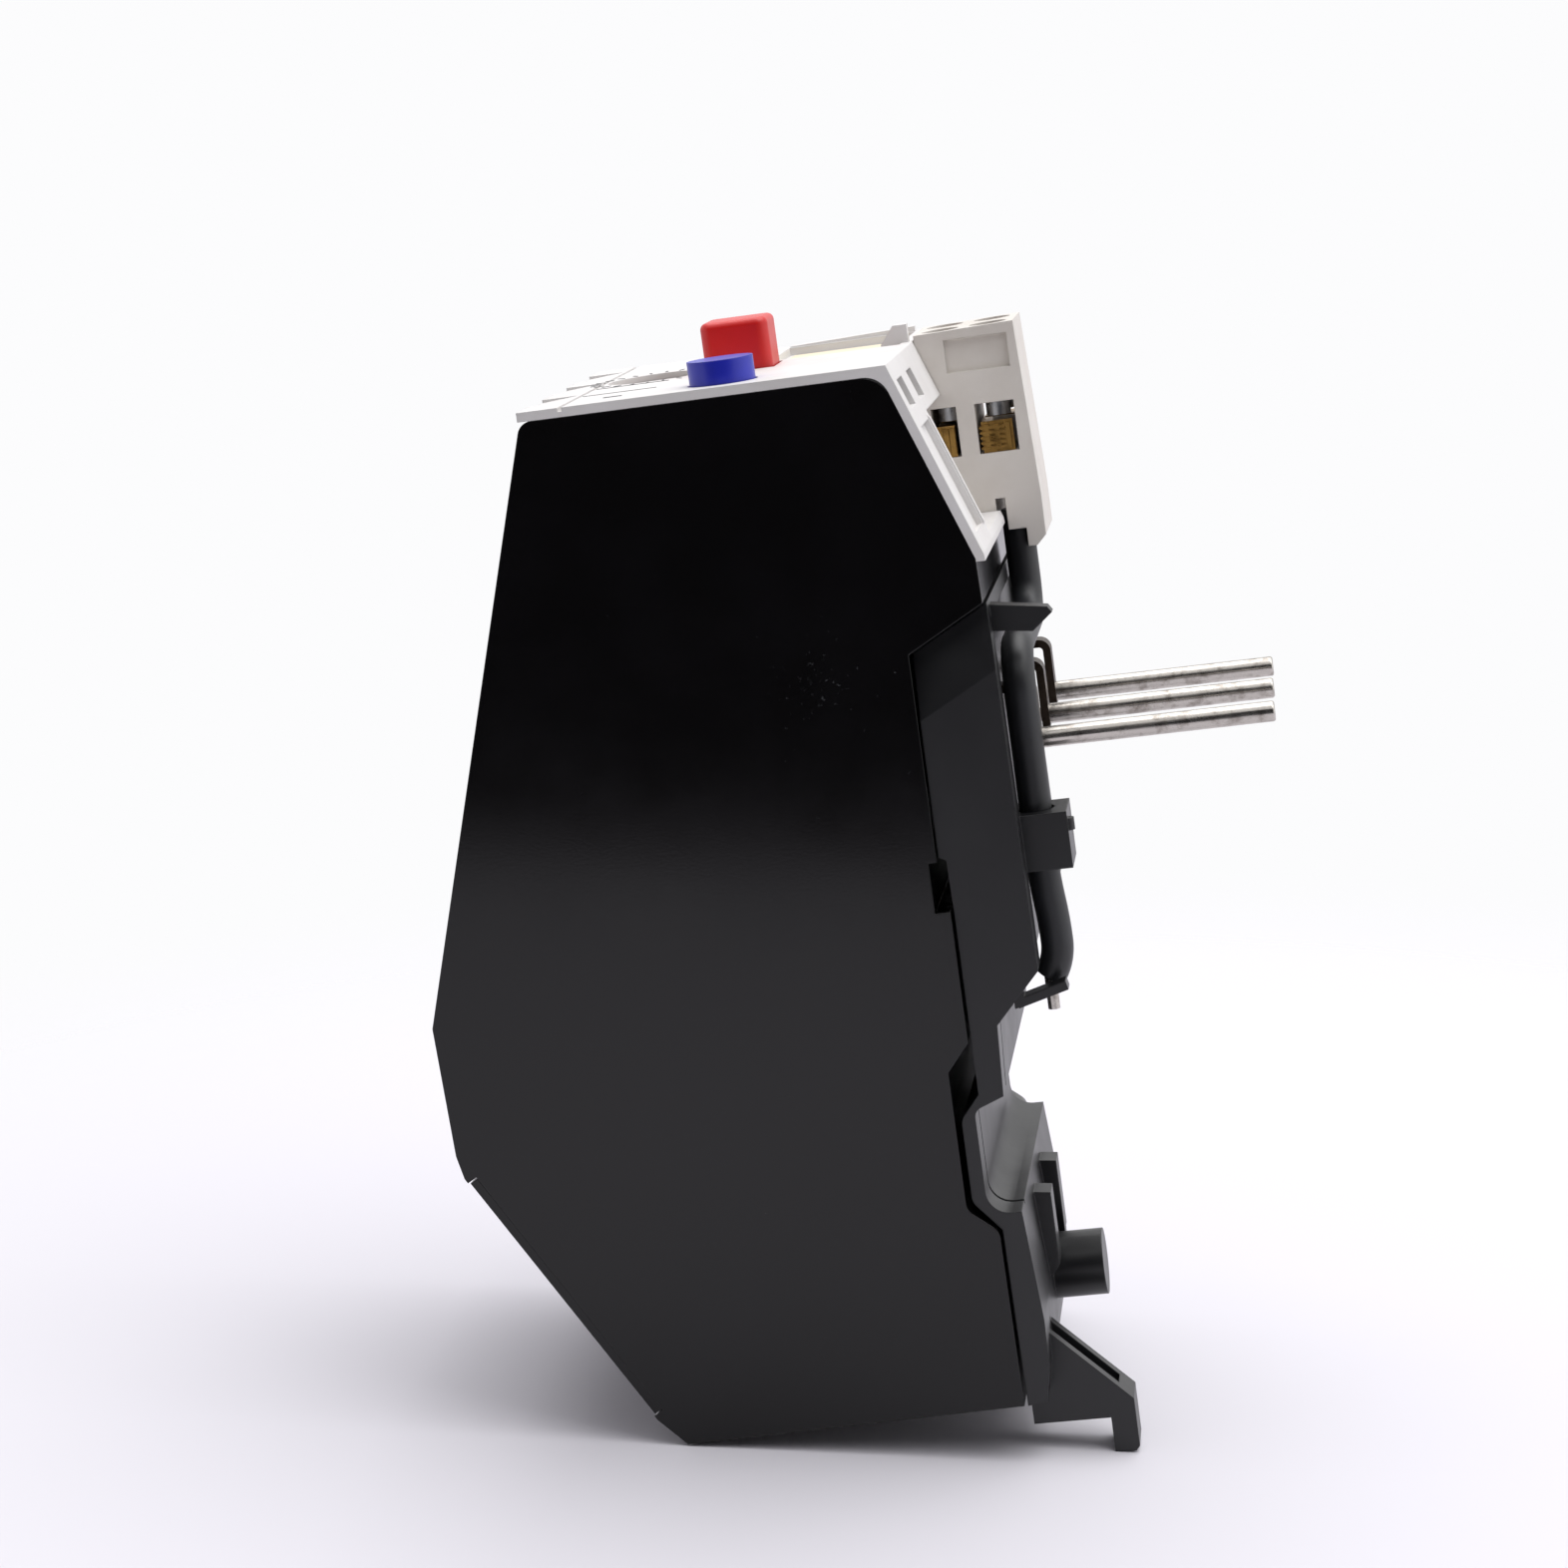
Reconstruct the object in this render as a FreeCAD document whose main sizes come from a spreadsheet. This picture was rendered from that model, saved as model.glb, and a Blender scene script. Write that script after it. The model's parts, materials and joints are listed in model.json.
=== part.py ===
"""Plug-on thermal overload relay, three poles, 45 mm wide.

Frame while modelling: X from the wiring side to the plug side, Y across the
width with zero on the mid plane, Z from the rear edge to the front face.
Every piece is then placed so that the origin is the root of the middle pin.
All sizes are in millimetres and live in the sheet "dims".
"""
import FreeCAD, Part
import math
import os
import re
import Sketcher

Vector = FreeCAD.Vector

SIZES = [
    # overall and shared
    ("width", 45.0), ("pole_pitch", 12.9), ("wall", 2.0), ("fit", 0.15), ("slack", 0.3),
    ("press_gap", 0.05),
    # outline of the housing, wiring side
    ("front_z", 103.4), ("front_left_x", -1.3), ("front_right_x", 33.4),
    ("bulge_x", -19.2), ("bulge_top_z", 45.3), ("bulge_low_x", -18.9), ("bulge_low_z", 32.1),
    ("slant_top_x", -18.4), ("slant_top_z", 29.7), ("slant_low_x", -2.7), ("slant_low_z", 2.8),
    ("heel_x", 34.1), ("heel_z", 1.0),
    # outline of the housing, plug side
    ("brow_x", 40.1), ("brow_z", 85.2), ("shoulder_z", 80.9), ("channel_x", 32.6), ("channel_z", 76.8),
    ("notch_x", 31.8), ("notch_top_z", 56.5), ("notch_low_z", 51.5), ("waist_x", 33.3), ("waist_z", 38.4),
    ("void_x", 31.0), ("void_top_z", 35.6), ("void_low_z", 21.6), ("plinth_x", 33.9), ("plinth_z", 19.2),
    ("void_round", 1.5), ("front_round", 1.5), ("brow_round", 3.0),
    # pole chambers and screw wells
    ("chamber_width", 11.2), ("chamber_floor_z", 3.4), ("chamber_top_z", 57.9),
    ("groove_depth", 3.5), ("well_width", 6.9), ("well_floor_z", 50.5), ("well_wall", 1.6),
    ("well_inner_x", -9.1),
    ("clamp_x", -12.5), ("entry_radius", 2.75), ("entry_z", 37.8),
    # rear plate
    ("seat_depth", 1.1), ("plate_thickness", 0.9), ("plate_pad", 4.0), ("window_margin", 5.0),
    # front cover
    ("cover_lip", 0.9), ("cover_thickness", 2.0), ("skirt_start_x", 4.4), ("cover_end_z", 84.9),
    ("notch_end_x", 2.2), ("notch_dip", 0.35), ("score_width", 0.4), ("score_depth", 0.4),
    ("recess_x", 19.6), ("recess_end_x", 32.9), ("recess_y", 3.4), ("recess_inset", 2.5),
    ("recess_depth", 0.8),
    ("rim_inset", 1.9), ("rim_thick", 1.4), ("rim_rise", 0.55),
    ("ear_x", 30.8), ("ear_length", 2.8), ("ear_slope", 1.4), ("ear_height", 1.8), ("ear_width", 1.6),
    ("slot_top_z", 102.6), ("slot_low_z", 99.8), ("near_slot_inset", 4.9), ("slot_spacing", 9.2),
    ("slot_width", 4.4),
    ("trough_top_z", 97.6), ("trough_low_z", 87.0), ("trough_inset", 2.7), ("trough_width", 7.4),
    ("ridge_inset", 10.5), ("ridge_width", 1.0),
    ("ridge_height", 0.15), ("ridge_top_z", 98.6), ("trough_depth", 0.6),
    ("bay_inset", 12.1), ("bay_back_x", 34.0), ("bay_floor_z", 86.2), ("bay_top_z", 98.6),
    ("bay_wall", 1.5),
    # auxiliary terminal block
    ("block_inset", 5.5), ("block_width", 11.5), ("block_left_x", 34.15), ("block_top_z", 104.8),
    ("block_rise", 0.3), ("block_right_x", 44.3), ("block_flare", 0.7), ("block_sole_z", 84.1),
    ("block_leg_x", 43.1), ("block_leg_z", 82.2), ("block_leg_chamfer", 1.0), ("block_step_x", 38.4),
    ("block_step_z", 85.1), ("block_low_z", 86.2), ("block_slit_end_x", 41.3),
    ("panel_left_x", 37.1), ("panel_low_z", 100.6), ("panel_depth", 0.5), ("panel_margin", 0.8),
    ("window_right_x", 39.4), ("window_left_x", 34.9), ("window_width", 4.0), ("window_narrow", 2.6),
    ("window_low_z", 92.1), ("window_height", 5.1),
    ("block_slit_x", 40.3), ("block_slit_z", 87.4),
    ("aux_screw_x", 41.6), ("aux_screw_left_x", 36.7), ("aux_row_y", 3.05), ("aux_head_radius", 1.75),
    ("aux_head_height", 1.5),
    ("aux_shank_radius", 1.25), ("aux_seat_z", 99.4), ("aux_shank_low_z", 95.7),
    ("clamp_rib", 0.5), ("aux_clamp_height", 3.2), ("aux_clamp_inset", 0.4), ("aux_clamp_half", 2.3),
    # mounting base
    ("base_inset", 0.5), ("base_top_x", 40.4), ("base_facet_z", 74.9), ("base_right_x", 40.6),
    ("base_corner_x", 40.9), ("base_corner_z", 44.7), ("base_throat_x", 36.3), ("base_throat_z", 39.7),
    ("neck_x", 36.0), ("neck_z", 32.6), ("trough_x", 33.0), ("trough_mouth_z", 31.4),
    ("trough_floor_z", 20.8),
    ("shelf_x", 36.3), ("toe_x", 37.0), ("toe_z", 4.3), ("spine_x", 31.6), ("spine_top_z", 30.6),
    ("spine_low_z", 22.2),
    ("curve_radius", 2.3), ("facet_run", 5.6), ("facet_depth", 1.5), ("flange", 3.5),
    ("lane_x", 39.6), ("lane_top_z", 79.0), ("lane_wall", 2.0), ("duct_low_z", 45.5),
    ("duct_top_z", 74.0),
    ("crease_run", 3.4), ("crease_width", 0.5), ("crease_depth", 0.4), ("cut_width", 6.5),
    ("cut_top_z", 44.9),
    ("hook_x", 38.2), ("hook_top_z", 18.8), ("hook_nose_z", 10.9), ("hook_low_z", 9.5),
    ("hook_width", 3.0), ("hook_y", 5.3),
    ("latch_y", -3.0), ("peg_radius", 3.4), ("peg_z", 8.6), ("peg_end_x", 42.3),
    ("foot_inset", 3.5), ("foot_width", 4.5), ("foot_top_z", 7.0), ("foot_x", 44.6),
    ("foot_knee_z", -0.7),
    ("foot_tip_z", -6.2), ("foot_tip_width", 2.2), ("foot_sole_z", -2.5), ("foot_slot_width", 2.2),
    ("foot_slot_depth", 0.9),
    # lead guides
    ("flag_inset", 3.6), ("flag_thickness", 1.9), ("flag_x", 46.1), ("flag_top_z", 79.3),
    ("flag_low_z", 77.1), ("flag_taper", 1.8),
    ("bridge_low_z", 53.8), ("bridge_height", 5.6), ("bridge_x", 45.3), ("bridge_reach", 3.1),
    ("bridge_width", 6.4),
    ("nub_radius", 0.6), ("tab_reach", 3.7), ("tab_x", 43.2), ("tab_z", 41.0), ("tab_thickness", 0.9),
    ("tab_drop", 1.4), ("tab_width", 2.0),
    # plug pins and pole links
    ("pin_root_x", 43.5), ("pin_axis_z", 65.75), ("pin_radius", 1.02), ("pin_length", 22.6),
    ("pin_round", 0.25),
    ("link_thickness", 0.8), ("link_width", 2.4), ("link_top_z", 71.5), ("link_low_z", 64.6),
    ("link_inner_x", 17.3),
    ("link_inner_z", 50.0), ("link_round", 1.2),
    # connecting lead
    ("lead_radius", 1.6), ("lead_reach", 3.0), ("lead_far_reach", 2.2), ("lead_clearance", 0.25),
    ("lead_x", 42.15),
    ("lead_top_z", 86.0), ("lead_cross_z", 75.1), ("lead_bend", 4.0), ("lead_bow_z", 54.4),
    ("lead_bow_radius", 40.0),
    ("lead_bow_turn", 6.0), ("lead_curl_radius", 6.0), ("lead_curl_turn", 35.0),
    ("tip_radius", 0.6), ("tip_length", 3.3), ("tip_depth", 1.0),
    # buttons
    ("reset_x", 17.7), ("reset_inset", 5.9), ("reset_radius", 3.2), ("reset_height", 2.3),
    ("stop_x", 17.5), ("stop_y", -0.9), ("stop_side", 6.8), ("stop_height", 5.0), ("stop_round", 1.1),
    ("stop_stem_y", -2.6),
    ("button_gap", 0.2), ("collar_height", 2.4), ("collar_rim", 0.5), ("stem_radius", 1.2),
    ("stem_low_z", 86.0),
    ("boss_radius", 2.9), ("boss_top_z", 90.0), ("run_gap", 0.08),
    ("spring_radius", 2.0), ("spring_wire", 0.25), ("spring_turns", 5.0),
    # trip flag
    ("flag_piece_x", 24.6), ("flag_piece_length", 4.6), ("flag_piece_y", 4.2),
    ("flag_piece_thickness", 1.6),
    ("flag_piece_low_z", 97.0), ("flag_piece_top", 0.1), ("flag_collar", 0.9), ("flag_travel", 1.0),
    # setting dial
    ("dial_x", 8.2), ("dial_y", 2.0), ("dial_radius", 4.8), ("dial_shaft", 2.0),
    ("dial_shoulder", 5.3), ("dial_shoulder_height", 1.1), ("dial_slot", 0.9), ("dial_slot_depth", 0.6),
    ("dial_sink", 0.6),
    ("dial_foot_z", 78.6),
    ("slider_z", 94.7), ("slider_thickness", 2.2), ("post_x", 4.8), ("post_y", -4.0),
    ("post_radius", 1.2),
    # main terminals
    ("cage_length", 7.8), ("cage_width", 8.0), ("cage_side", 1.0), ("cage_roof", 2.6), ("cage_base", 1.4),
    ("cage_low_z", 33.6), ("cage_height", 11.8), ("screw_radius", 1.95), ("head_radius", 3.0),
    ("head_height", 2.5),
    ("drive_slot", 0.9),
    ("bar_width", 5.6), ("bar_thickness", 1.4), ("bar_top_z", 42.0), ("bar_start_x", -15.5),
    ("bar_leg_x", -3.4), ("rib_left_x", -7.6), ("rib_right_x", -6.0),
    ("bar_foot_z", 12.0),
    # bimetal strips and heaters
    ("bimetal_x", 10.0), ("bimetal_width", 5.0), ("bimetal_thickness", 0.9), ("bimetal_tip_z", 60.8),
    ("sleeve_wall", 0.3), ("sleeve_low_z", 18.0), ("sleeve_high_z", 48.0),
    ("winding_turns", 9.0), ("winding_pitch", 3.0), ("winding_height", 1.8), ("winding_thickness", 0.5),
    # slide bars
    ("bar_slide_z", 58.2), ("slide_thickness", 1.0), ("slide_gap", 0.3), ("slide_left_x", 5.5),
    ("slide_right_x", 16.4),
    ("slide_near_inset", 4.5), ("slide_far_inset", 5.9),
    # mechanism
    ("frame_z", 78.0), ("frame_thickness", 2.0), ("frame_left_x", -3.0), ("frame_right_x", 22.0),
    ("frame_leg", 1.4),
    ("frame_foot_z", 57.95), ("lever_y", 6.45), ("lever_x", 12.0), ("lever_width", 2.0),
    ("lever_thickness", 1.2),
    ("lever_pivot_z", 74.0), ("lever_hub", 1.9), ("lever_top_z", 88.0), ("beam_height", 2.0),
    ("beam_end_x", 18.7),
    ("pivot_radius", 0.8), ("lug_thickness", 1.2), ("lug_gap", 0.2), ("lever_swing", 1.2),
    ("strip_thickness", 0.4), ("strip_width", 4.2), ("strip_left_x", 11.0), ("strip_low_z", 58.3),
    ("strip_high_z", 71.5),
    ("leaf_thickness", 0.3), ("leaf_y", 5.0), ("leaf_width", 1.8), ("nc_x", 14.6), ("no_x", 16.9),
    ("leaf_top_z", 92.5),
    ("leaf_low_z", 80.05), ("rivet_z", 91.2), ("rivet_radius", 0.7), ("rivet_height", 0.55),
    ("bracket_thickness", 0.6),
    ("bracket_post_x", 19.2), ("bracket_end_x", 21.0), ("bracket_arm_z", 89.8), ("no_gap", 2.25),
]

# Places that follow from the sizes above.
PLACES = {
    "pole_1": "-pole_pitch",
    "pole_2": "0*pole_pitch",
    "pole_3": "pole_pitch",
    "half": "width/2",
    "inner_half": "width/2-wall",
    "wire_slope": "(front_left_x-bulge_x)/(front_z-bulge_top_z)",
    "groove_top_x": "front_left_x+groove_depth",
    "groove_low_z": "front_z-(groove_top_x-well_inner_x)/wire_slope",
    "cover_top_z": "front_z+cover_lip",
    "cover_under_z": "cover_top_z-cover_thickness",
    "chamfer_run": "brow_x-front_right_x",
    "chamfer_rise": "front_z-brow_z",
    "chamfer_length": "sqrt(chamfer_run*chamfer_run+chamfer_rise*chamfer_rise)",
    "normal_x": "chamfer_rise/chamfer_length",
    "normal_z": "chamfer_run/chamfer_length",
    "slant_run": "slant_low_x-slant_top_x",
    "slant_fall": "slant_top_z-slant_low_z",
    "slant_length": "sqrt(slant_run*slant_run+slant_fall*slant_fall)",
    "slant_u": "slant_run/slant_length",
    "slant_w": "slant_fall/slant_length",
    "base_half": "width/2-base_inset",
    "recess_far_y": "half-recess_inset",
    "rim_y": "half-rim_inset",
    "near_slot_y": "-half+near_slot_inset",
    "far_slot_y": "-half+near_slot_inset+slot_spacing",
    "trough_y": "-half+trough_inset",
    "ridge_y": "-half+ridge_inset",
    "bay_near_y": "-half+bay_inset",
    "block_far_y": "half-block_inset",
    "block_near_y": "half-block_inset-block_width",
    "cut_y": "base_half-cut_width",
    "foot_y": "-base_half+foot_inset",
    "flag_y": "-base_half+flag_inset",
    "bridge_y": "-pole_pitch-lead_reach-bridge_reach",
    "tab_y": "-pole_pitch-lead_reach-tab_reach",
    "lead_y": "-pole_pitch-lead_reach",
    "lead_far_y": "half-block_inset-block_width+lead_far_reach",
    "reset_y": "-half+reset_inset",
    "slide_start_y": "-half+slide_near_inset",
    "slide_end_y": "half-slide_far_inset",
    "lane_half": "base_half-flange",
    "bar_floor_z": "bar_top_z-bar_thickness",
    "bimetal_root_z": "bar_foot_z+bar_thickness",
    "frame_top_z": "frame_z+frame_thickness",
    "collar_top_z": "cover_under_z-fit",
    "collar_low_z": "collar_top_z-collar_height",
    "well_outer_x": "2*clamp_x-well_inner_x",
    "entry_floor": "cage_low_z+cage_base",
    "shell": "seat_depth+wall",
    "plate_step": "cover_thickness-cover_lip",
    "block_mid_y": "(block_near_y+block_far_y)/2",
    "lever_near_y": "lever_y-lever_thickness/2",
    "lever_far_y": "lever_y+lever_thickness/2",
}


def formula(text):
    """Turn size and place names into references to the sheet."""

    def swap(match):
        word = match.group()
        if word in PLACES:
            return "(" + formula(PLACES[word]) + ")"
        if word == "sqrt":
            return word
        return "dims." + word

    return re.sub(r"[a-z][a-z_0-9]*", swap, text)


def number(text):
    """Value of a formula, in millimetres."""
    return float(sheet.evalExpression(formula(text)))


def make_sheet():
    """Spreadsheet with one row for each driving size."""
    table = doc.addObject("Spreadsheet::Sheet", "dims")
    for row, (name, value) in enumerate(SIZES, start=1):
        table.set("A%d" % row, name)
        table.set("B%d" % row, str(value))
        table.setAlias("B%d" % row, name)
    doc.recompute()
    return table


def bind(thing, place, text):
    """Tie one property to the sheet."""
    thing.setExpression(place, formula(text))


def new_body(label, y="0*width"):
    """Empty body that is shifted to the part's own frame."""
    body = doc.addObject("PartDesign::Body", label)
    body.Label = label
    bind(body, "Placement.Base.x", "-pin_root_x")
    bind(body, "Placement.Base.y", y)
    bind(body, "Placement.Base.z", "-pin_axis_z")
    pieces.append(body)
    return body


def draw(body, name, plane, loops, height):
    """Sketch of closed loops: lists of corner formulas, or a circle (x, y, radius)."""
    sketch = body.newObject("Sketcher::SketchObject", name + "_sketch")
    roles = {item.Role: item for item in body.Origin.OriginFeatures}
    sketch.AttachmentSupport = (roles[plane], [""])
    sketch.MapMode = "FlatFace"
    bind(sketch, "AttachmentOffset.Base.z", height)
    limits = []
    formulas = []
    for loop in loops:
        first = sketch.GeometryCount
        if isinstance(loop, tuple):
            spot = Vector(number(loop[0]), number(loop[1]), 0)
            sketch.addGeometry(Part.Circle(spot, Vector(0, 0, 1), number(loop[2])))
            limits.append(Sketcher.Constraint("DistanceX", -1, 1, first, 3, spot.x))
            limits.append(Sketcher.Constraint("DistanceY", -1, 1, first, 3, spot.y))
            limits.append(Sketcher.Constraint("Radius", first, number(loop[2])))
            formulas += [loop[0], loop[1], loop[2]]
            continue
        corners = [Vector(number(x), number(y), 0) for x, y in loop]
        count = len(corners)
        for index, corner in enumerate(corners):
            sketch.addGeometry(Part.LineSegment(corner, corners[(index + 1) % count]))
        for index in range(count):
            following = first + (index + 1) % count
            limits.append(Sketcher.Constraint("Coincident", first + index, 2, following, 1))
            formulas.append(None)
        for index, corner in enumerate(corners):
            limits.append(Sketcher.Constraint("DistanceX", -1, 1, first + index, 1, corner.x))
            limits.append(Sketcher.Constraint("DistanceY", -1, 1, first + index, 1, corner.y))
            formulas += list(loop[index])
    sketch.addConstraint(limits)
    for index, text in enumerate(formulas):
        if text is not None:
            bind(sketch, "Constraints[%d]" % index, text)
    return sketch


def extrude(body, kind, name, plane, loops, start, end):
    """Pad or Pocket of a sketch between two places along the plane's axis."""
    turned = plane == "XZ_Plane"
    height = "-(" + end + ")" if turned else start
    sketch = draw(body, name, plane, loops, height)
    feature = body.newObject("PartDesign::" + kind, name)
    feature.Profile = sketch
    bind(feature, "Length", "(" + end + ")-(" + start + ")")
    feature.Reversed = kind == "Pocket"
    body.Tip = feature
    before = last_volume.get(body.Name, 0.0)
    doc.recompute([body], True)
    volume = feature.Shape.Volume
    if kind == "Pocket" and not volume < before - 1e-4:
        raise RuntimeError(name + " removes nothing from " + body.Label)
    if kind == "Pad" and not volume > before + 1e-4:
        raise RuntimeError(name + " adds nothing to " + body.Label)
    last_volume[body.Name] = volume
    return feature


def across(body, kind, name, loops, start, end):
    """Extrusion along Y of loops in X and Z."""
    return extrude(body, kind, name, "XZ_Plane", loops, start, end)


def upward(body, kind, name, loops, start, end):
    """Extrusion along Z of loops in X and Y."""
    return extrude(body, kind, name, "XY_Plane", loops, start, end)


def lengthwise(body, kind, name, loops, start, end):
    """Extrusion along X of loops in Y and Z."""
    return extrude(body, kind, name, "YZ_Plane", loops, start, end)


def box(x_low, x_high, y_low, y_high):
    """Rectangle from two pairs of limits."""
    return [(x_low, y_low), (x_high, y_low), (x_high, y_high), (x_low, y_high)]


def edges_at(shape, axis, places):
    """Names of straight edges along one axis that pass through the places."""
    along = {"X": 0, "Y": 1, "Z": 2}[axis]
    others = [index for index in range(3) if index != along]
    found = []
    for index, edge in enumerate(shape.Edges, start=1):
        ends = [vertex.Point for vertex in edge.Vertexes]
        if len(ends) != 2 or abs(ends[0][along] - ends[1][along]) < 1e-3:
            continue
        for place in places:
            if all(abs(end[other] - goal) < 0.01 for end in ends for other, goal in zip(others, place)):
                found.append("Edge%d" % index)
    return found


def soften(body, name, size, axis, places, kind="Fillet"):
    """Fillet or chamfer on the straight edges at the given places."""
    base = body.Tip
    names = edges_at(base.Shape, axis, [[number(text) for text in place] for place in places])
    if not names:
        raise RuntimeError(name + " finds no edge on " + body.Label)
    feature = body.newObject("PartDesign::" + kind, name)
    feature.Base = (base, names)
    bind(feature, "Radius" if kind == "Fillet" else "Size", size)
    body.Tip = feature
    doc.recompute([body], True)
    last_volume[body.Name] = feature.Shape.Volume
    return feature


def rim(body, name, size, axis, level):
    """Fillet round the whole rim that lies at one level along an axis."""
    base = body.Tip
    goal = number(level)
    names = []
    for index, edge in enumerate(base.Shape.Edges, start=1):
        if all(abs(vertex.Point[axis] - goal) < 0.01 for vertex in edge.Vertexes):
            names.append("Edge%d" % index)
    feature = body.newObject("PartDesign::Fillet", name)
    feature.Base = (base, names)
    bind(feature, "Radius", size)
    body.Tip = feature
    doc.recompute([body], True)
    last_volume[body.Name] = feature.Shape.Volume
    return feature


def bevel(body, name, start, end):
    """Two-distance chamfer on the near edge between two corners of an outline."""
    base = body.Tip
    corners = [Vector(number(x), -number("base_half"), number(z)) for x, z in (start, end)]
    names = []
    for index, edge in enumerate(base.Shape.Edges, start=1):
        ends = [vertex.Point for vertex in edge.Vertexes]
        if len(ends) == 2 and all(min(end.distanceToPoint(corner) for end in ends) < 0.01 for corner in corners):
            names.append("Edge%d" % index)
    if not names:
        raise RuntimeError(name + " finds no edge on " + body.Label)
    feature = body.newObject("PartDesign::Chamfer", name)
    feature.Base = (base, names)
    feature.ChamferType = "Two distances"
    bind(feature, "Size", "facet_depth")
    bind(feature, "Size2", "facet_run")
    body.Tip = feature
    doc.recompute([body], True)
    last_volume[body.Name] = feature.Shape.Volume
    return feature


def poles():
    """Number and centre of each pole."""
    return [(1, "pole_1"), (2, "pole_2"), (3, "pole_3")]


def slant_point(along, inward):
    """Point on the slanted rear edge, given along it from the top and inward."""
    x = "slant_top_x+slant_u*(%s)+slant_w*(%s)" % (along, inward)
    z = "slant_top_z-slant_w*(%s)+slant_u*(%s)" % (along, inward)
    return (x, z)


def chamfer_point(z, outward):
    """Point at height z on the front chamfer, moved outward from it."""
    x = "brow_x-(%s-brow_z)*chamfer_run/chamfer_rise+normal_x*(%s)" % (z, outward)
    return (x, "%s+normal_z*(%s)" % (z, outward))


def slant_wall_z(x):
    """Height of the inner side of the slanted wall at a place along X."""
    return "slant_low_z+slant_u*shell+(slant_low_x+slant_w*shell-(%s))*slant_fall/slant_run" % x


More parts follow.
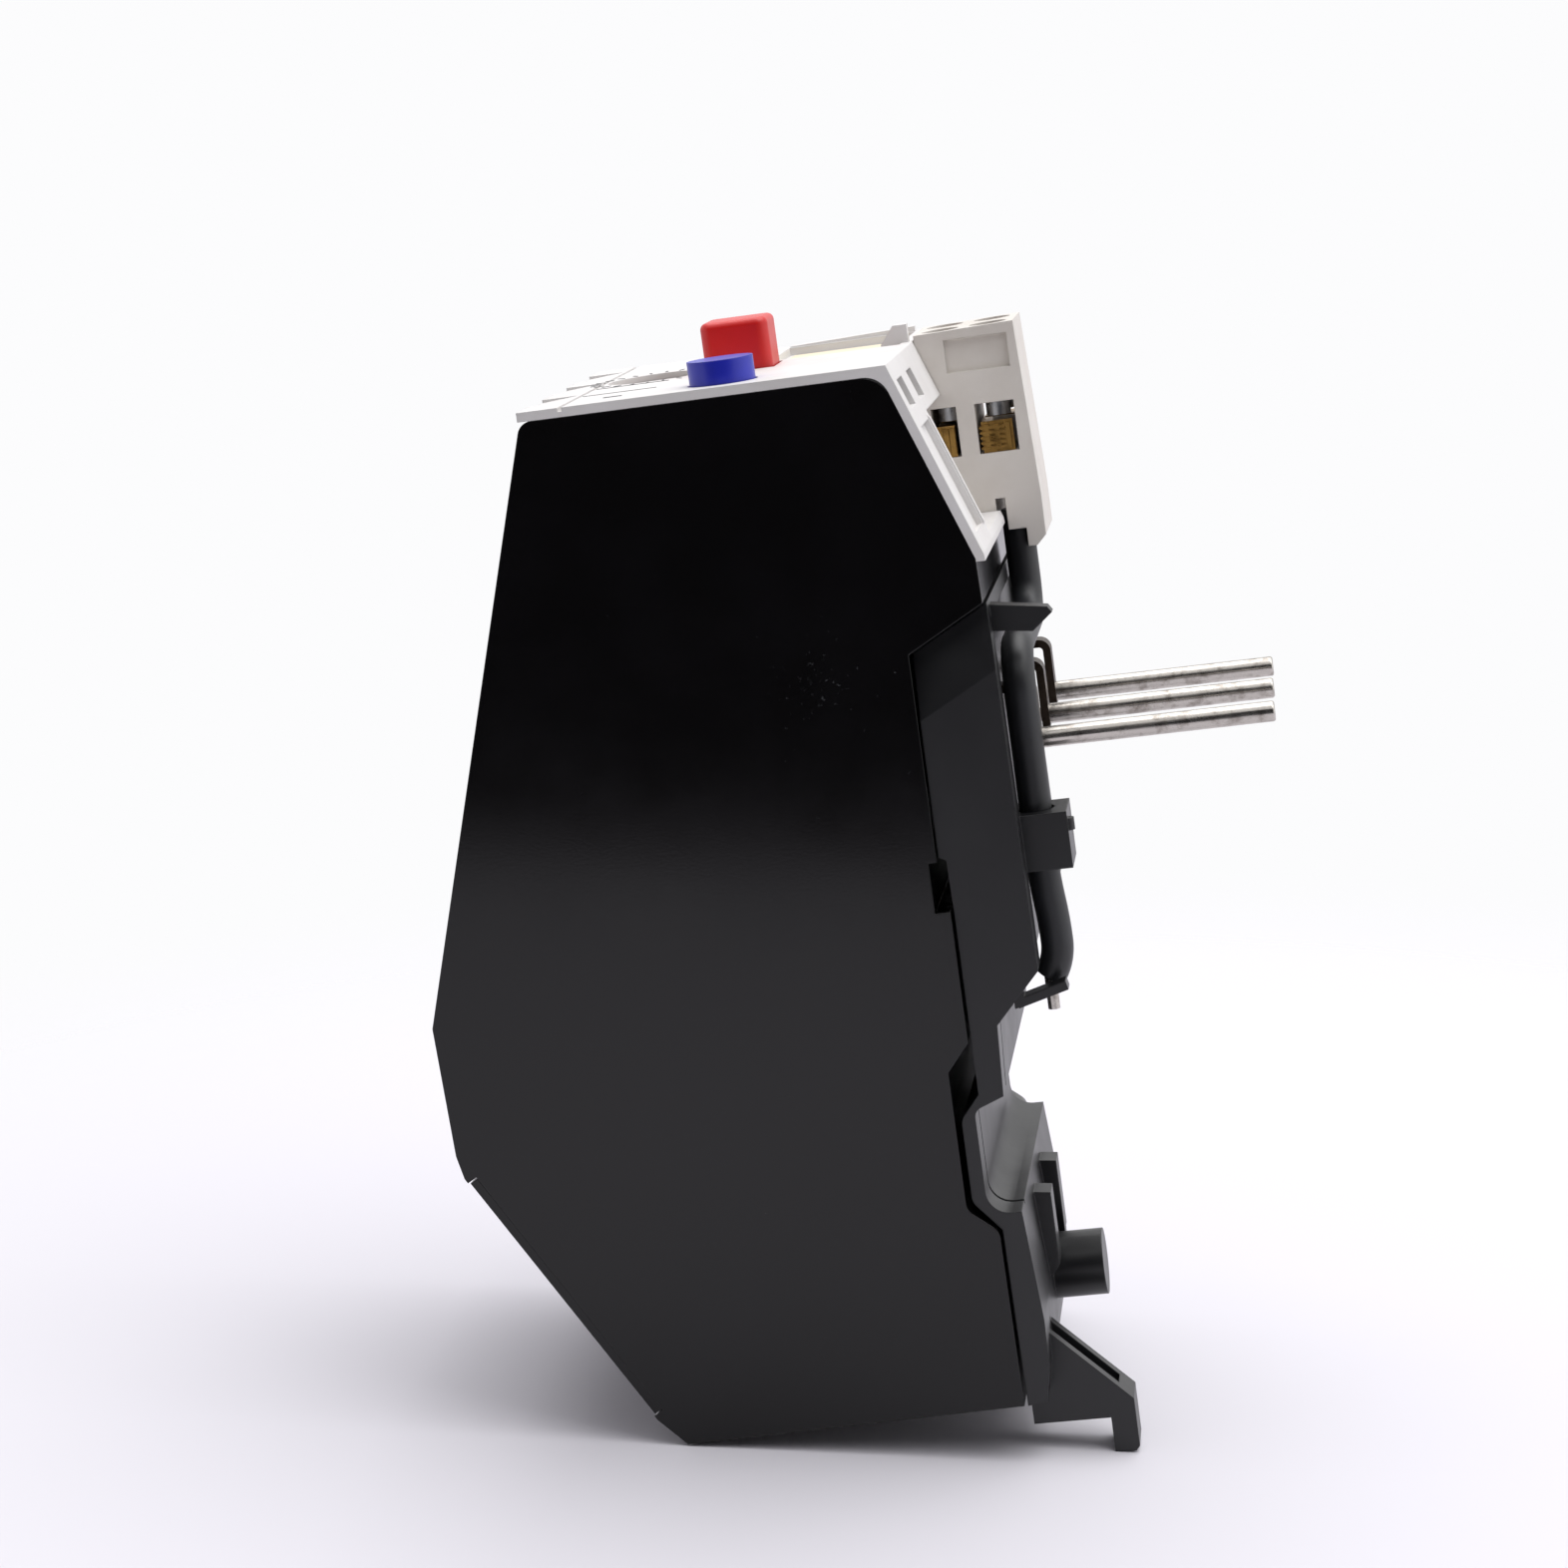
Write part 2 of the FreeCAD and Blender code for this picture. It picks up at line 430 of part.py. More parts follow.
def housing():
    """Moulded housing with three pole chambers, screw wells and a front compartment."""
    body = new_body("housing")
    outline = [("0*width", "0*width"), ("slant_low_x", "slant_low_z"), ("slant_top_x", "slant_top_z"),
               ("bulge_low_x", "bulge_low_z"), ("bulge_x", "bulge_top_z"), ("front_left_x", "front_z"),
               ("front_right_x", "front_z"), ("brow_x", "brow_z"), ("brow_x+0.1", "shoulder_z"),
               ("channel_x", "channel_z"), ("channel_x", "notch_top_z"), ("notch_x", "notch_top_z"),
               ("notch_x", "notch_low_z"), ("waist_x", "notch_low_z"), ("waist_x", "waist_z"),
               ("void_x", "void_top_z"), ("void_x", "void_low_z"), ("plinth_x", "plinth_z"),
               ("heel_x", "heel_z")]
    across(body, "Pad", "block", [outline], "-half", "half")
    soften(body, "front_round_edge", "front_round", "Y", [("front_left_x", "front_z")])
    soften(body, "brow_round_edge", "brow_round", "Y", [("front_right_x", "front_z")])
    soften(body, "void_round_edge", "void_round", "Y", [("void_x", "void_low_z"), ("plinth_x", "plinth_z")])
    seat = [slant_point("seat_depth/2", "-wall"), slant_point("slant_length-seat_depth/2", "-wall"),
            slant_point("slant_length-seat_depth/2", "seat_depth"), slant_point("seat_depth/2", "seat_depth")]
    across(body, "Pocket", "plate_seat", [seat], "-half-1", "half+1")
    strip_room = [("rib_right_x", slant_wall_z("rib_right_x")), slant_point("slant_length", "shell"),
                  ("slant_low_x+slant_w*shell+1", "chamber_floor_z"), ("void_x-wall", "chamber_floor_z"),
                  ("void_x-wall", "chamber_top_z"), ("rib_right_x", "chamber_top_z")]
    wire_room = [slant_point("0*wall", "shell"), ("bulge_x+wall", "cage_low_z"),
                 ("bulge_x+wall", "bulge_top_z"),
                 ("bulge_x+wall+0.6", "well_floor_z-well_wall"), ("rib_left_x", "well_floor_z-well_wall"),
                 ("rib_left_x", slant_wall_z("rib_left_x"))]
    passage = [("rib_left_x-0.1", "bar_floor_z"), ("rib_right_x+0.1", "bar_floor_z"),
               ("rib_right_x+0.1", "well_floor_z-well_wall"), ("rib_left_x-0.1", "well_floor_z-well_wall")]
    well = [("well_outer_x", "well_floor_z"), ("well_inner_x", "well_floor_z"),
            ("well_inner_x", "groove_low_z"),
            ("groove_top_x", "front_z"), ("groove_top_x", "front_z+1"), ("well_outer_x", "front_z+1")]
    window = [slant_point("window_margin", "seat_depth-0.1"),
              slant_point("slant_length-window_margin", "seat_depth-0.1"),
              slant_point("slant_length-window_margin", "shell+0.1"),
              slant_point("window_margin+7", "shell+0.1"),
              slant_point("window_margin+7", "seat_depth+0.5"),
              slant_point("window_margin", "seat_depth+0.5")]
    for index, pole in poles():
        low = pole + "-chamber_width/2"
        high = pole + "+chamber_width/2"
        across(body, "Pocket", "strip_room_%d" % index, [strip_room], low, high)
        across(body, "Pocket", "wire_room_%d" % index, [wire_room], low, high)
        across(body, "Pocket", "passage_%d" % index, [passage], pole + "-bar_width/2-fit",
               pole + "+bar_width/2+fit")
        across(body, "Pocket", "well_%d" % index, [well], pole + "-well_width/2", pole + "+well_width/2")
        across(body, "Pocket", "window_%d" % index, [window], pole + "-plate_pad", pole + "+plate_pad")
        entry = (pole, "entry_z", "entry_radius")
        lengthwise(body, "Pocket", "entry_%d" % index, [entry], "bulge_x-1", "bulge_x+wall+0.1")
        hole = ("clamp_x", pole, "screw_radius+fit")
        upward(body, "Pocket", "screw_hole_%d" % index, [hole], "well_floor_z-well_wall-0.1",
               "well_floor_z+0.1")
        gate = box(pole + "-link_width/2-fit", pole + "+link_width/2+fit",
                   "link_top_z-link_thickness-fit", "link_top_z+fit")
        lengthwise(body, "Pocket", "link_gate_%d" % index, [gate], "channel_x-wall-0.1", "channel_x+0.1")
    floor_low = "channel_z+1.2"
    room = [("well_inner_x+well_wall", "chamber_top_z"), ("channel_x-wall", "chamber_top_z"),
            ("channel_x-wall", floor_low), ("brow_x-wall", "shoulder_z+1.2"),
            ("brow_x-wall", "cover_end_z-0.2"),
            ("brow_x+2", "cover_end_z-0.2"), ("brow_x+2", "front_z+1"),
            ("groove_top_x+well_wall", "front_z+1"),
            ("groove_top_x+well_wall", "front_z"), ("well_inner_x+well_wall", "groove_low_z")]
    across(body, "Pocket", "front_room", [room], "-inner_half", "inner_half")
    seat = ("dial_x", "dial_y", "dial_shoulder+button_gap")
    upward(body, "Pocket", "dial_seat", [seat], "cover_under_z-dial_shoulder_height-slack", "front_z+1")
    return body


def rear_plate():
    """Closing plate on the slanted rear edge, with a pad in the window of each pole."""
    body = new_body("rear_plate")
    top = "seat_depth/2+fit"
    end = "slant_length-seat_depth/2-fit"
    sheet_loop = [slant_point(top, "seat_depth-plate_thickness"),
                  slant_point(end, "seat_depth-plate_thickness"),
                  slant_point(end, "seat_depth"), slant_point(top, "seat_depth")]
    across(body, "Pad", "plate", [sheet_loop], "-half", "half")
    pad_loop = [slant_point("window_margin+7+fit", "seat_depth-0.1"),
                slant_point("slant_length-window_margin-fit", "seat_depth-0.1"),
                slant_point("slant_length-window_margin-fit", "seat_depth+0.8*wall"),
                slant_point("window_margin+7+fit", "seat_depth+0.8*wall")]
    for index, pole in poles():
        across(body, "Pad", "pad_%d" % index, [pad_loop], pole + "-plate_pad+fit", pole + "+plate_pad-fit")
    return body


def front_cover():
    """Front cover that wraps over the chamfer, with its button, dial and wiring openings."""
    body = new_body("front_cover")
    corner = chamfer_point("cover_top_z-normal_z*cover_lip", "cover_lip")
    lip = [("front_left_x-0.2", "front_z"), ("front_right_x", "front_z"), ("brow_x", "brow_z"),
           ("brow_x", "cover_end_z"),
           ("brow_x+cover_lip", "cover_end_z"), chamfer_point("brow_z", "cover_lip"), corner,
           ("front_left_x-0.2", "cover_top_z")]
    across(body, "Pad", "lip", [lip], "-half", "half")
    inner = chamfer_point("cover_under_z+normal_z*plate_step", "-plate_step")
    soften(body, "corner_fill", "brow_round-0.5", "Y", [("front_right_x", "front_z")])
    skirt = [("skirt_start_x", "front_z+0.2"), ("front_right_x", "front_z+0.2"), ("brow_x+0.2", "brow_z"),
             ("brow_x+0.2", "cover_end_z"), chamfer_point("cover_end_z+normal_z*plate_step",
                                                          "-plate_step"), inner,
             ("skirt_start_x", "cover_under_z")]
    across(body, "Pad", "skirt", [skirt], "-inner_half+fit", "inner_half-fit")
    bay = [("bay_back_x-bay_wall", "cover_end_z"), ("brow_x-0.5", "cover_end_z"), ("brow_x-0.5", "brow_z"),
           chamfer_point("bay_top_z+bay_wall", "-0.5"), ("bay_back_x-bay_wall", "bay_top_z+bay_wall")]
    across(body, "Pad", "bay_shell", [bay], "bay_near_y-bay_wall", "block_near_y-fit")
    bay_hollow = [("bay_back_x", "bay_floor_z"), ("brow_x+5", "bay_floor_z"), ("brow_x+5", "bay_top_z"),
                  ("bay_back_x", "bay_top_z")]
    across(body, "Pocket", "bay_hollow", [bay_hollow], "bay_near_y", "block_near_y-fit")
    aperture = box("block_left_x-fit", "brow_x+5", "block_near_y-fit", "block_far_y+fit")
    upward(body, "Pocket", "block_aperture", [aperture], "cover_end_z-1", "cover_top_z+1")
    for index, pole in poles():
        notch = [("front_left_x-1", "cover_top_z-notch_dip"), ("notch_end_x", "cover_top_z"),
                 ("notch_end_x", "cover_top_z+1"),
                 ("front_left_x-1", "cover_top_z+1")]
        across(body, "Pocket", "notch_%d" % index, [notch], pole + "-well_width/2", pole + "+well_width/2")
    score = box("notch_end_x+0.3", "notch_end_x+0.3+score_width", "-half-1", "half+1")
    upward(body, "Pocket", "score", [score], "cover_top_z-score_depth", "cover_top_z+1")
    for name, place in (("near_slot", "near_slot_y"), ("far_slot", "far_slot_y")):
        slot = box(place + "-slot_width/2", place + "+slot_width/2", "slot_low_z", "slot_top_z")
        lengthwise(body, "Pocket", name, [slot], "front_right_x-0.6", "brow_x+2")
    trough = [chamfer_point("trough_top_z", "cover_lip-trough_depth"),
              chamfer_point("trough_low_z", "cover_lip-trough_depth"),
              chamfer_point("trough_low_z", "cover_lip+1"), chamfer_point("trough_top_z", "cover_lip+1")]
    across(body, "Pocket", "trough", [trough], "trough_y", "trough_y+trough_width")
    ridge = [chamfer_point("ridge_top_z", "cover_lip-0.2"),
             chamfer_point("trough_low_z-0.6", "cover_lip-0.2"),
             chamfer_point("trough_low_z", "cover_lip+ridge_height"),
             chamfer_point("ridge_top_z-1", "cover_lip+ridge_height")]
    across(body, "Pad", "ridge", [ridge], "ridge_y", "ridge_y+ridge_width")
    upward(body, "Pocket", "dial_hole", [("dial_x", "dial_y", "dial_radius+button_gap")],
           "cover_under_z-1", "cover_top_z+1")
    upward(body, "Pocket", "reset_hole", [("reset_x", "reset_y", "reset_radius+button_gap")],
           "cover_under_z-1",
           "cover_top_z+1")
    reach = "(stop_side/2+button_gap)"
    square = box("stop_x-" + reach, "stop_x+" + reach, "stop_y-" + reach, "stop_y+" + reach)
    upward(body, "Pocket", "stop_hole", [square], "cover_under_z-1", "cover_top_z+1")
    recess = box("recess_x", "recess_end_x", "recess_y", "recess_far_y")
    upward(body, "Pocket", "recess", [recess], "cover_top_z-recess_depth", "cover_top_z+1")
    flag_hole = box("flag_piece_x-button_gap", "flag_piece_x+flag_piece_length+button_gap",
                    "flag_piece_y-button_gap", "flag_piece_y+flag_piece_thickness+button_gap")
    upward(body, "Pocket", "flag_hole", [flag_hole], "cover_under_z-1", "cover_top_z+1")
    border = [("recess_x", "cover_top_z-0.3"), ("recess_end_x", "cover_top_z-0.3"),
              ("recess_end_x", "cover_top_z+rim_rise"),
              ("recess_x", "cover_top_z+0.1")]
    across(body, "Pad", "border", [border], "rim_y", "rim_y+rim_thick")
    ear = [("ear_x", "cover_top_z-0.3"), ("ear_x+ear_length", "cover_top_z-0.3"),
           ("ear_x+ear_length", "cover_top_z+ear_height"),
           ("ear_x+ear_slope", "cover_top_z+ear_height"), ("ear_x", "cover_top_z")]
    across(body, "Pad", "ear", [ear], "block_near_y", "block_near_y+ear_width")
    return body


def aux_block():
    """Auxiliary terminal block with two rows of screw terminals."""
    body = new_body("aux_block")
    loop = [("block_left_x", "block_low_z"), ("block_step_x", "block_low_z"),
            ("block_step_x", "block_step_z"),
            ("block_slit_x", "block_step_z"), ("block_slit_x", "block_slit_z"),
            ("block_slit_end_x", "block_slit_z"),
            ("block_slit_end_x", "block_sole_z"), ("block_leg_x", "block_sole_z"),
            ("block_leg_x", "block_leg_z"),
            ("block_right_x+block_flare-block_leg_chamfer", "block_leg_z"),
            ("block_right_x+block_flare", "block_leg_z+block_leg_chamfer"),
            ("block_right_x+block_flare", "block_slit_z"),
            ("block_right_x", "block_top_z+block_rise"), ("block_left_x", "block_top_z")]
    across(body, "Pad", "core", [loop], "block_near_y", "block_far_y")
    panel = [("panel_left_x", "panel_low_z"), ("block_right_x-panel_margin", "panel_low_z"),
             ("block_right_x-panel_margin", "block_top_z-panel_margin"),
             ("panel_left_x", "block_top_z-panel_margin")]
    across(body, "Pocket", "panel", [panel], "block_near_y-1", "block_near_y+panel_depth")
    for name, left, run in (("right_window", "window_right_x", "window_width"),
                            ("left_window", "window_left_x", "window_narrow")):
        high = "window_low_z+window_height"
        window = [(left, "window_low_z"), (left + "+" + run, "window_low_z"), (left + "+" + run, high),
                  (left, high)]
        across(body, "Pocket", name, [window], "block_near_y-1", "block_far_y+1")
    for index, (x, y) in enumerate(aux_places(), start=1):
        upward(body, "Pocket", "driver_hole_%d" % index, [(x, y, "aux_head_radius+fit")], "aux_seat_z",
               "block_top_z+2")
        upward(body, "Pocket", "shank_hole_%d" % index, [(x, y, "aux_shank_radius+0.05")],
               "aux_shank_low_z-slack", "aux_seat_z+0.1")
    socket = ("lead_x", "lead_far_y", "lead_radius+lead_clearance")
    upward(body, "Pocket", "lead_socket", [socket], "block_leg_z-1", "lead_top_z")
    return body


def aux_places():
    """Centres of the four auxiliary screws."""
    near = "block_mid_y-aux_row_y"
    far = "block_mid_y+aux_row_y"
    return [("aux_screw_x", near), ("aux_screw_left_x", near), ("aux_screw_x", far),
            ("aux_screw_left_x", far)]


def slotted_screw(label, x, y, seat, low, shank, head, height):
    """Cheese-head screw along Z with a straight driver slot."""
    body = new_body(label)
    upward(body, "Pad", "shank", [(x, y, shank)], low, seat + "+0.1")
    upward(body, "Pad", "head", [(x, y, head)], seat, seat + "+" + height)
    slot = box(x + "-drive_slot/2", x + "+drive_slot/2", y + "-" + head + "-1", y + "+" + head + "+1")
    upward(body, "Pocket", "drive", [slot], seat + "+" + height + "-0.45*" + height,
           seat + "+" + height + "+1")
    return body


def aux_clamps():
    """Ribbed clamp plates under the auxiliary screws, four loose solids."""
    plates = []
    for index, (x, y) in enumerate(aux_places(), start=1):
        left = "window_right_x" if x == "aux_screw_x" else "window_left_x"
        run = "window_width" if x == "aux_screw_x" else "window_narrow"
        body = new_body("aux_clamp_%d" % index, "0*width")
        lane = box(left + "+aux_clamp_inset", left + "+" + run + "-aux_clamp_inset", y + "-aux_clamp_half",
                   y + "+aux_clamp_half")
        upward(body, "Pad", "plate", [lane], "window_low_z", "window_low_z+aux_clamp_height")
        for rib in range(3):
            place = left + "+aux_clamp_inset+(%d+0.5)*(%s-2*aux_clamp_inset)/3" % (rib, run)
            edge = box(place + "-clamp_rib/2", place + "+clamp_rib/2", y + "-aux_clamp_half-0.3",
                       y + "-aux_clamp_half+0.1")
            upward(body, "Pad", "rib_%d" % rib, [edge], "window_low_z+0.3",
                   "window_low_z+aux_clamp_height-0.3")
        plates.append(body)
    return group("aux_clamps", plates)


def group(label, bodies):
    """One node that holds several separate solids."""
    compound = doc.addObject("Part::Compound", label)
    compound.Label = label
    compound.Links = bodies
    for body in bodies:
        pieces.remove(body)
    pieces.append(compound)
    return compound


def mounting_base():
    """Moulded base on the plug side with its hooks, peg, foot and lead guides."""
    body = new_body("mounting_base")
    loop = [("channel_x+0.2", "channel_z-0.2"), ("base_top_x", "shoulder_z-0.25"),
            ("base_right_x", "base_facet_z"),
            ("base_corner_x", "base_corner_z"), ("base_throat_x", "base_throat_z"), ("neck_x", "neck_z"),
            ("trough_x", "trough_mouth_z"), ("trough_x", "trough_floor_z"), ("shelf_x", "trough_floor_z"),
            ("toe_x+0.1", "hook_low_z"), ("toe_x", "toe_z"), ("shelf_x+0.1", "heel_z"),
            ("heel_x+0.3", "heel_z-0.2"),
            ("plinth_x+0.3", "plinth_z-0.1"), ("spine_x", "spine_low_z"), ("spine_x", "spine_top_z"),
            ("waist_x+0.3", "neck_z+0.4"), ("waist_x+0.3", "notch_low_z"), ("waist_x+0.2", "notch_top_z"),
            ("channel_x+0.2", "notch_top_z+0.4")]
    across(body, "Pad", "shell", [loop], "-base_half", "base_half")
    soften(body, "floor_curve", "curve_radius", "Y", [("trough_x", "trough_floor_z")])
    soften(body, "mouth_curve", "0.45*curve_radius", "Y", [("trough_x", "trough_mouth_z")])
    soften(body, "back_curves", "0.6*curve_radius", "Y",
           [("spine_x", "spine_top_z"), ("spine_x", "spine_low_z")])
    bevel(body, "upper_facet", ("channel_x+0.2", "channel_z-0.2"), ("base_top_x", "shoulder_z-0.25"))
    crease = [("neck_x-crease_depth", "base_throat_z-0.6"), ("neck_x+1.5", "base_throat_z+1"),
              ("shelf_x+3", "base_throat_z"),
              ("shelf_x+3", "trough_floor_z-crease_depth"), ("trough_x+1.3", "trough_floor_z-crease_depth"),
              ("trough_x-crease_depth", "trough_floor_z+1.3"),
              ("trough_x-crease_depth", "trough_mouth_z-0.6"),
              ("trough_x+0.2", "trough_mouth_z+crease_depth"), ("neck_x-crease_depth", "neck_z+0.5")]
    across(body, "Pocket", "crease", [crease], "-base_half+crease_run", "-base_half+crease_run+crease_width")
    lane = [("lane_x", "duct_low_z-4"), ("base_corner_x+1", "duct_low_z-4"),
            ("base_corner_x+1", "lane_top_z"),
            ("lane_x", "lane_top_z")]
    across(body, "Pocket", "lane", [lane], "-lane_half", "lane_half")
    duct = [("waist_x", "duct_low_z"), ("lane_x-lane_wall", "duct_low_z"), ("lane_x-lane_wall", "duct_top_z"),
            ("waist_x-1", "duct_top_z"), ("waist_x-1", "notch_top_z+1")]
    across(body, "Pocket", "duct", [duct], "-lane_half+wall", "lane_half-wall")
    for index, pole in poles():
        gate = box(pole + "-link_width/2-fit", pole + "+link_width/2+fit",
                   "link_top_z-link_thickness-fit", "link_top_z+fit")
        lengthwise(body, "Pocket", "link_gate_%d" % index, [gate], "lane_x-lane_wall-0.1", "lane_x+0.1")
    far_cut = box("spine_x-2", "hook_x+2", "cut_y", "base_half+1")
    upward(body, "Pocket", "far_cut", [far_cut], "heel_z-2", "cut_top_z")
    wedge = [("shelf_x+0.05", "hook_top_z"), ("hook_x", "hook_top_z-0.2"), ("hook_x", "hook_nose_z"),
             ("toe_x", "hook_low_z"), ("shelf_x-0.3", "hook_low_z"), ("shelf_x-0.3", "hook_top_z")]
    across(body, "Pad", "near_hook", [wedge], "latch_y-hook_y-hook_width/2", "latch_y-hook_y+hook_width/2")
    across(body, "Pad", "far_hook", [wedge], "latch_y+hook_y-hook_width/2", "latch_y+hook_y+hook_width/2")
    lengthwise(body, "Pad", "peg", [("latch_y", "peg_z", "peg_radius")], "shelf_x-0.3", "peg_end_x")
    foot = [("shelf_x-0.2", "foot_top_z"), ("toe_x", "foot_top_z"), ("foot_x", "foot_knee_z"),
            ("foot_x", "foot_tip_z+0.5"), ("foot_x-0.4", "foot_tip_z"),
            ("foot_x-0.3-foot_tip_width", "foot_tip_z"),
            ("foot_x-0.3-foot_tip_width", "foot_sole_z"), ("heel_x+0.3", "foot_sole_z"),
            ("heel_x+0.3", "heel_z"),
            ("shelf_x-0.2", "heel_z")]
    across(body, "Pad", "foot", [foot], "foot_y", "foot_y+foot_width")
    foot_slot = [("toe_x", "foot_top_z+0.6"), ("foot_x-1.3", "foot_knee_z+2.2"),
                 ("foot_x-1.5", "foot_knee_z+1.5-foot_slot_depth"),
                 ("toe_x", "foot_top_z-foot_slot_depth-0.3")]
    middle = "foot_y+foot_width/2"
    across(body, "Pocket", "foot_slot", [foot_slot], middle + "-foot_slot_width/2",
           middle + "+foot_slot_width/2")
    flag = [("lane_x-0.3", "shoulder_z-1.2"), ("lane_x+0.5", "shoulder_z-0.7"), ("flag_x-0.2", "flag_top_z"),
            ("flag_x+0.2", "flag_top_z-0.6"), ("flag_x-flag_taper", "flag_low_z"),
            ("lane_x-0.3", "flag_low_z+0.6")]
    across(body, "Pad", "flag", [flag], "flag_y", "flag_y+flag_thickness")
    bridge = box("lane_x-0.3", "bridge_x", "bridge_y", "bridge_y+bridge_width")
    upward(body, "Pad", "bridge", [bridge], "bridge_low_z", "bridge_low_z+bridge_height")
    upward(body, "Pocket", "lead_guide", [("lead_x", "lead_y", "lead_radius+lead_clearance")],
           "bridge_low_z-0.1",
           "bridge_low_z+bridge_height+0.1")
    upward(body, "Pad", "nub", [("bridge_x", "bridge_y+1", "nub_radius")], "bridge_low_z+3.6",
           "bridge_low_z+4.8")
    tab = [("tab_x-4.8", "tab_z-tab_thickness/2"), ("tab_x+0.2", "tab_z+tab_drop-tab_thickness/2"),
           ("tab_x", "tab_z+tab_drop+tab_thickness/2"), ("tab_x-5", "tab_z+tab_thickness/2")]
    across(body, "Pad", "tab", [tab], "tab_y", "tab_y+tab_width")
    stay = [("tab_x-5.2", "tab_z-tab_thickness/2"), ("tab_x-4.2", "tab_z-tab_thickness/2+0.2"),
            ("tab_x-4.2", "base_corner_z"), ("tab_x-5.2", "base_corner_z")]
    across(body, "Pad", "tab_stay", [stay], "tab_y", "tab_y+tab_width")
    return body


def plug_pin(index, pole):
    """Round plug pin riveted to its link."""
    body = new_body("plug_pin_%d" % index)
    lengthwise(body, "Pad", "pin", [(pole, "pin_axis_z", "pin_radius")], "pin_root_x",
               "pin_root_x+pin_length")
    rim(body, "nose", "pin_round", 0, "pin_root_x+pin_length")
    lengthwise(body, "Pad", "rivet", [(pole, "pin_axis_z", "0.65*pin_radius")],
               "pin_root_x-link_thickness-0.2",
               "pin_root_x+0.1")
    return body


def pole_link(index, pole):
    """Bent strip from the heater to the plug pin."""
    body = new_body("pole_link_%d" % index)
    low = "link_top_z-link_thickness"
    inner = "link_inner_x+link_thickness"
    loop = [("link_inner_x-3.6", "link_inner_z"), (inner, "link_inner_z"), (inner, low),
            ("pin_root_x-link_thickness", low), ("pin_root_x-link_thickness", "link_low_z"),
            ("pin_root_x", "link_low_z"),
            ("pin_root_x", "link_top_z"), ("link_inner_x", "link_top_z"),
            ("link_inner_x", "link_inner_z+link_thickness"),
            ("link_inner_x-3.6", "link_inner_z+link_thickness")]
    across(body, "Pad", "strip", [loop], pole + "-link_width/2", pole + "+link_width/2")
    soften(body, "outer_bends", "link_round", "Y", [("pin_root_x", "link_top_z"), ("link_inner_x",
                                                                                   "link_top_z"),
                                                   (inner, "link_inner_z")])
    soften(body, "inner_bends", "0.35*link_round", "Y", [("pin_root_x-link_thickness", low), (inner, low),
                                                        ("link_inner_x", "link_inner_z+link_thickness")])
    lengthwise(body, "Pocket", "pin_hole", [(pole, "pin_axis_z", "0.65*pin_radius+press_gap")],
               "pin_root_x-link_thickness-0.1", "pin_root_x+0.1")
    return body


def swing(spot, heading, radius, turn):
    """Place reached from a spot by an arc in X and Z; angles are in degrees from straight down."""
    start = math.radians(heading)
    stop = math.radians(heading + turn)
    side = math.copysign(radius, turn)
    return spot + Vector(side * (math.cos(start) - math.cos(stop)), 0,
                         side * (math.sin(start) - math.sin(stop)))


def connecting_lead():
    """Insulated lead swept along straight runs and wide bends."""
    x = number("lead_x-pin_root_x")
    near = number("lead_y")
    far = number("lead_far_y")
    top = number("lead_top_z-pin_axis_z")
    cross = number("lead_cross_z-pin_axis_z")
    bend = number("lead_bend")
    side = bend * (1 - 0.5 ** 0.5)
    marks = [Vector(x, far, top), Vector(x, far, cross + bend), Vector(x, far - side, cross + side),
             Vector(x, far - bend, cross), Vector(x, near + bend, cross),
             Vector(x, near + side, cross - side),
             Vector(x, near, cross - bend), Vector(x, near, number("lead_bow_z-pin_axis_z"))]
    edges = [Part.LineSegment(marks[0], marks[1]).toShape(), Part.Arc(marks[1], marks[2], marks[3]).toShape(),
             Part.LineSegment(marks[3], marks[4]).toShape(), Part.Arc(marks[4], marks[5], marks[6]).toShape(),
             Part.LineSegment(marks[6], marks[7]).toShape()]
    bow = number("lead_bow_turn")
    spot = marks[7]
    heading = 0.0
    for radius, turn in (("lead_bow_radius", bow), ("lead_bow_radius", -bow),
                         ("lead_curl_radius", -number("lead_curl_turn"))):
        middle = swing(spot, heading, number(radius), turn / 2)
        following = swing(spot, heading, number(radius), turn)
        edges.append(Part.Arc(spot, middle, following).toShape())
        spot = following
        heading += turn
    path = Part.Wire(edges)
    ring = Part.Wire([Part.makeCircle(number("lead_radius"), marks[0], Vector(0, 0, -1))])
    shape = path.makePipeShell([ring], True, False)
    expected = ring.Edges[0].Curve.Radius ** 2 * 3.14159265 * path.Length
    if not shape.isValid() or abs(shape.Volume - expected) > 0.02 * expected:
        raise RuntimeError("the lead sweep is not sound")
    depth = number("tip_depth")
    core = Vector(spot.x, near, spot.z - bend)
    shape = shape.cut(Part.makeCylinder(number("tip_radius+press_gap"), bend + depth, core))
    piece = doc.addObject("Part::Feature", "connecting_lead")
    piece.Label = "connecting_lead"
    piece.Shape = shape
    pieces.append(piece)
    return spot


def lead_tip(end):
    """Contact tip at the end of the lead."""
    body = new_body("lead_tip")
    level = "(pin_axis_z%+.4f)" % end.z
    spot = ("pin_root_x%+.4f" % end.x, "lead_y", "tip_radius")
    upward(body, "Pad", "tip", [spot], level + "-tip_length", level + "+tip_depth")
    return body


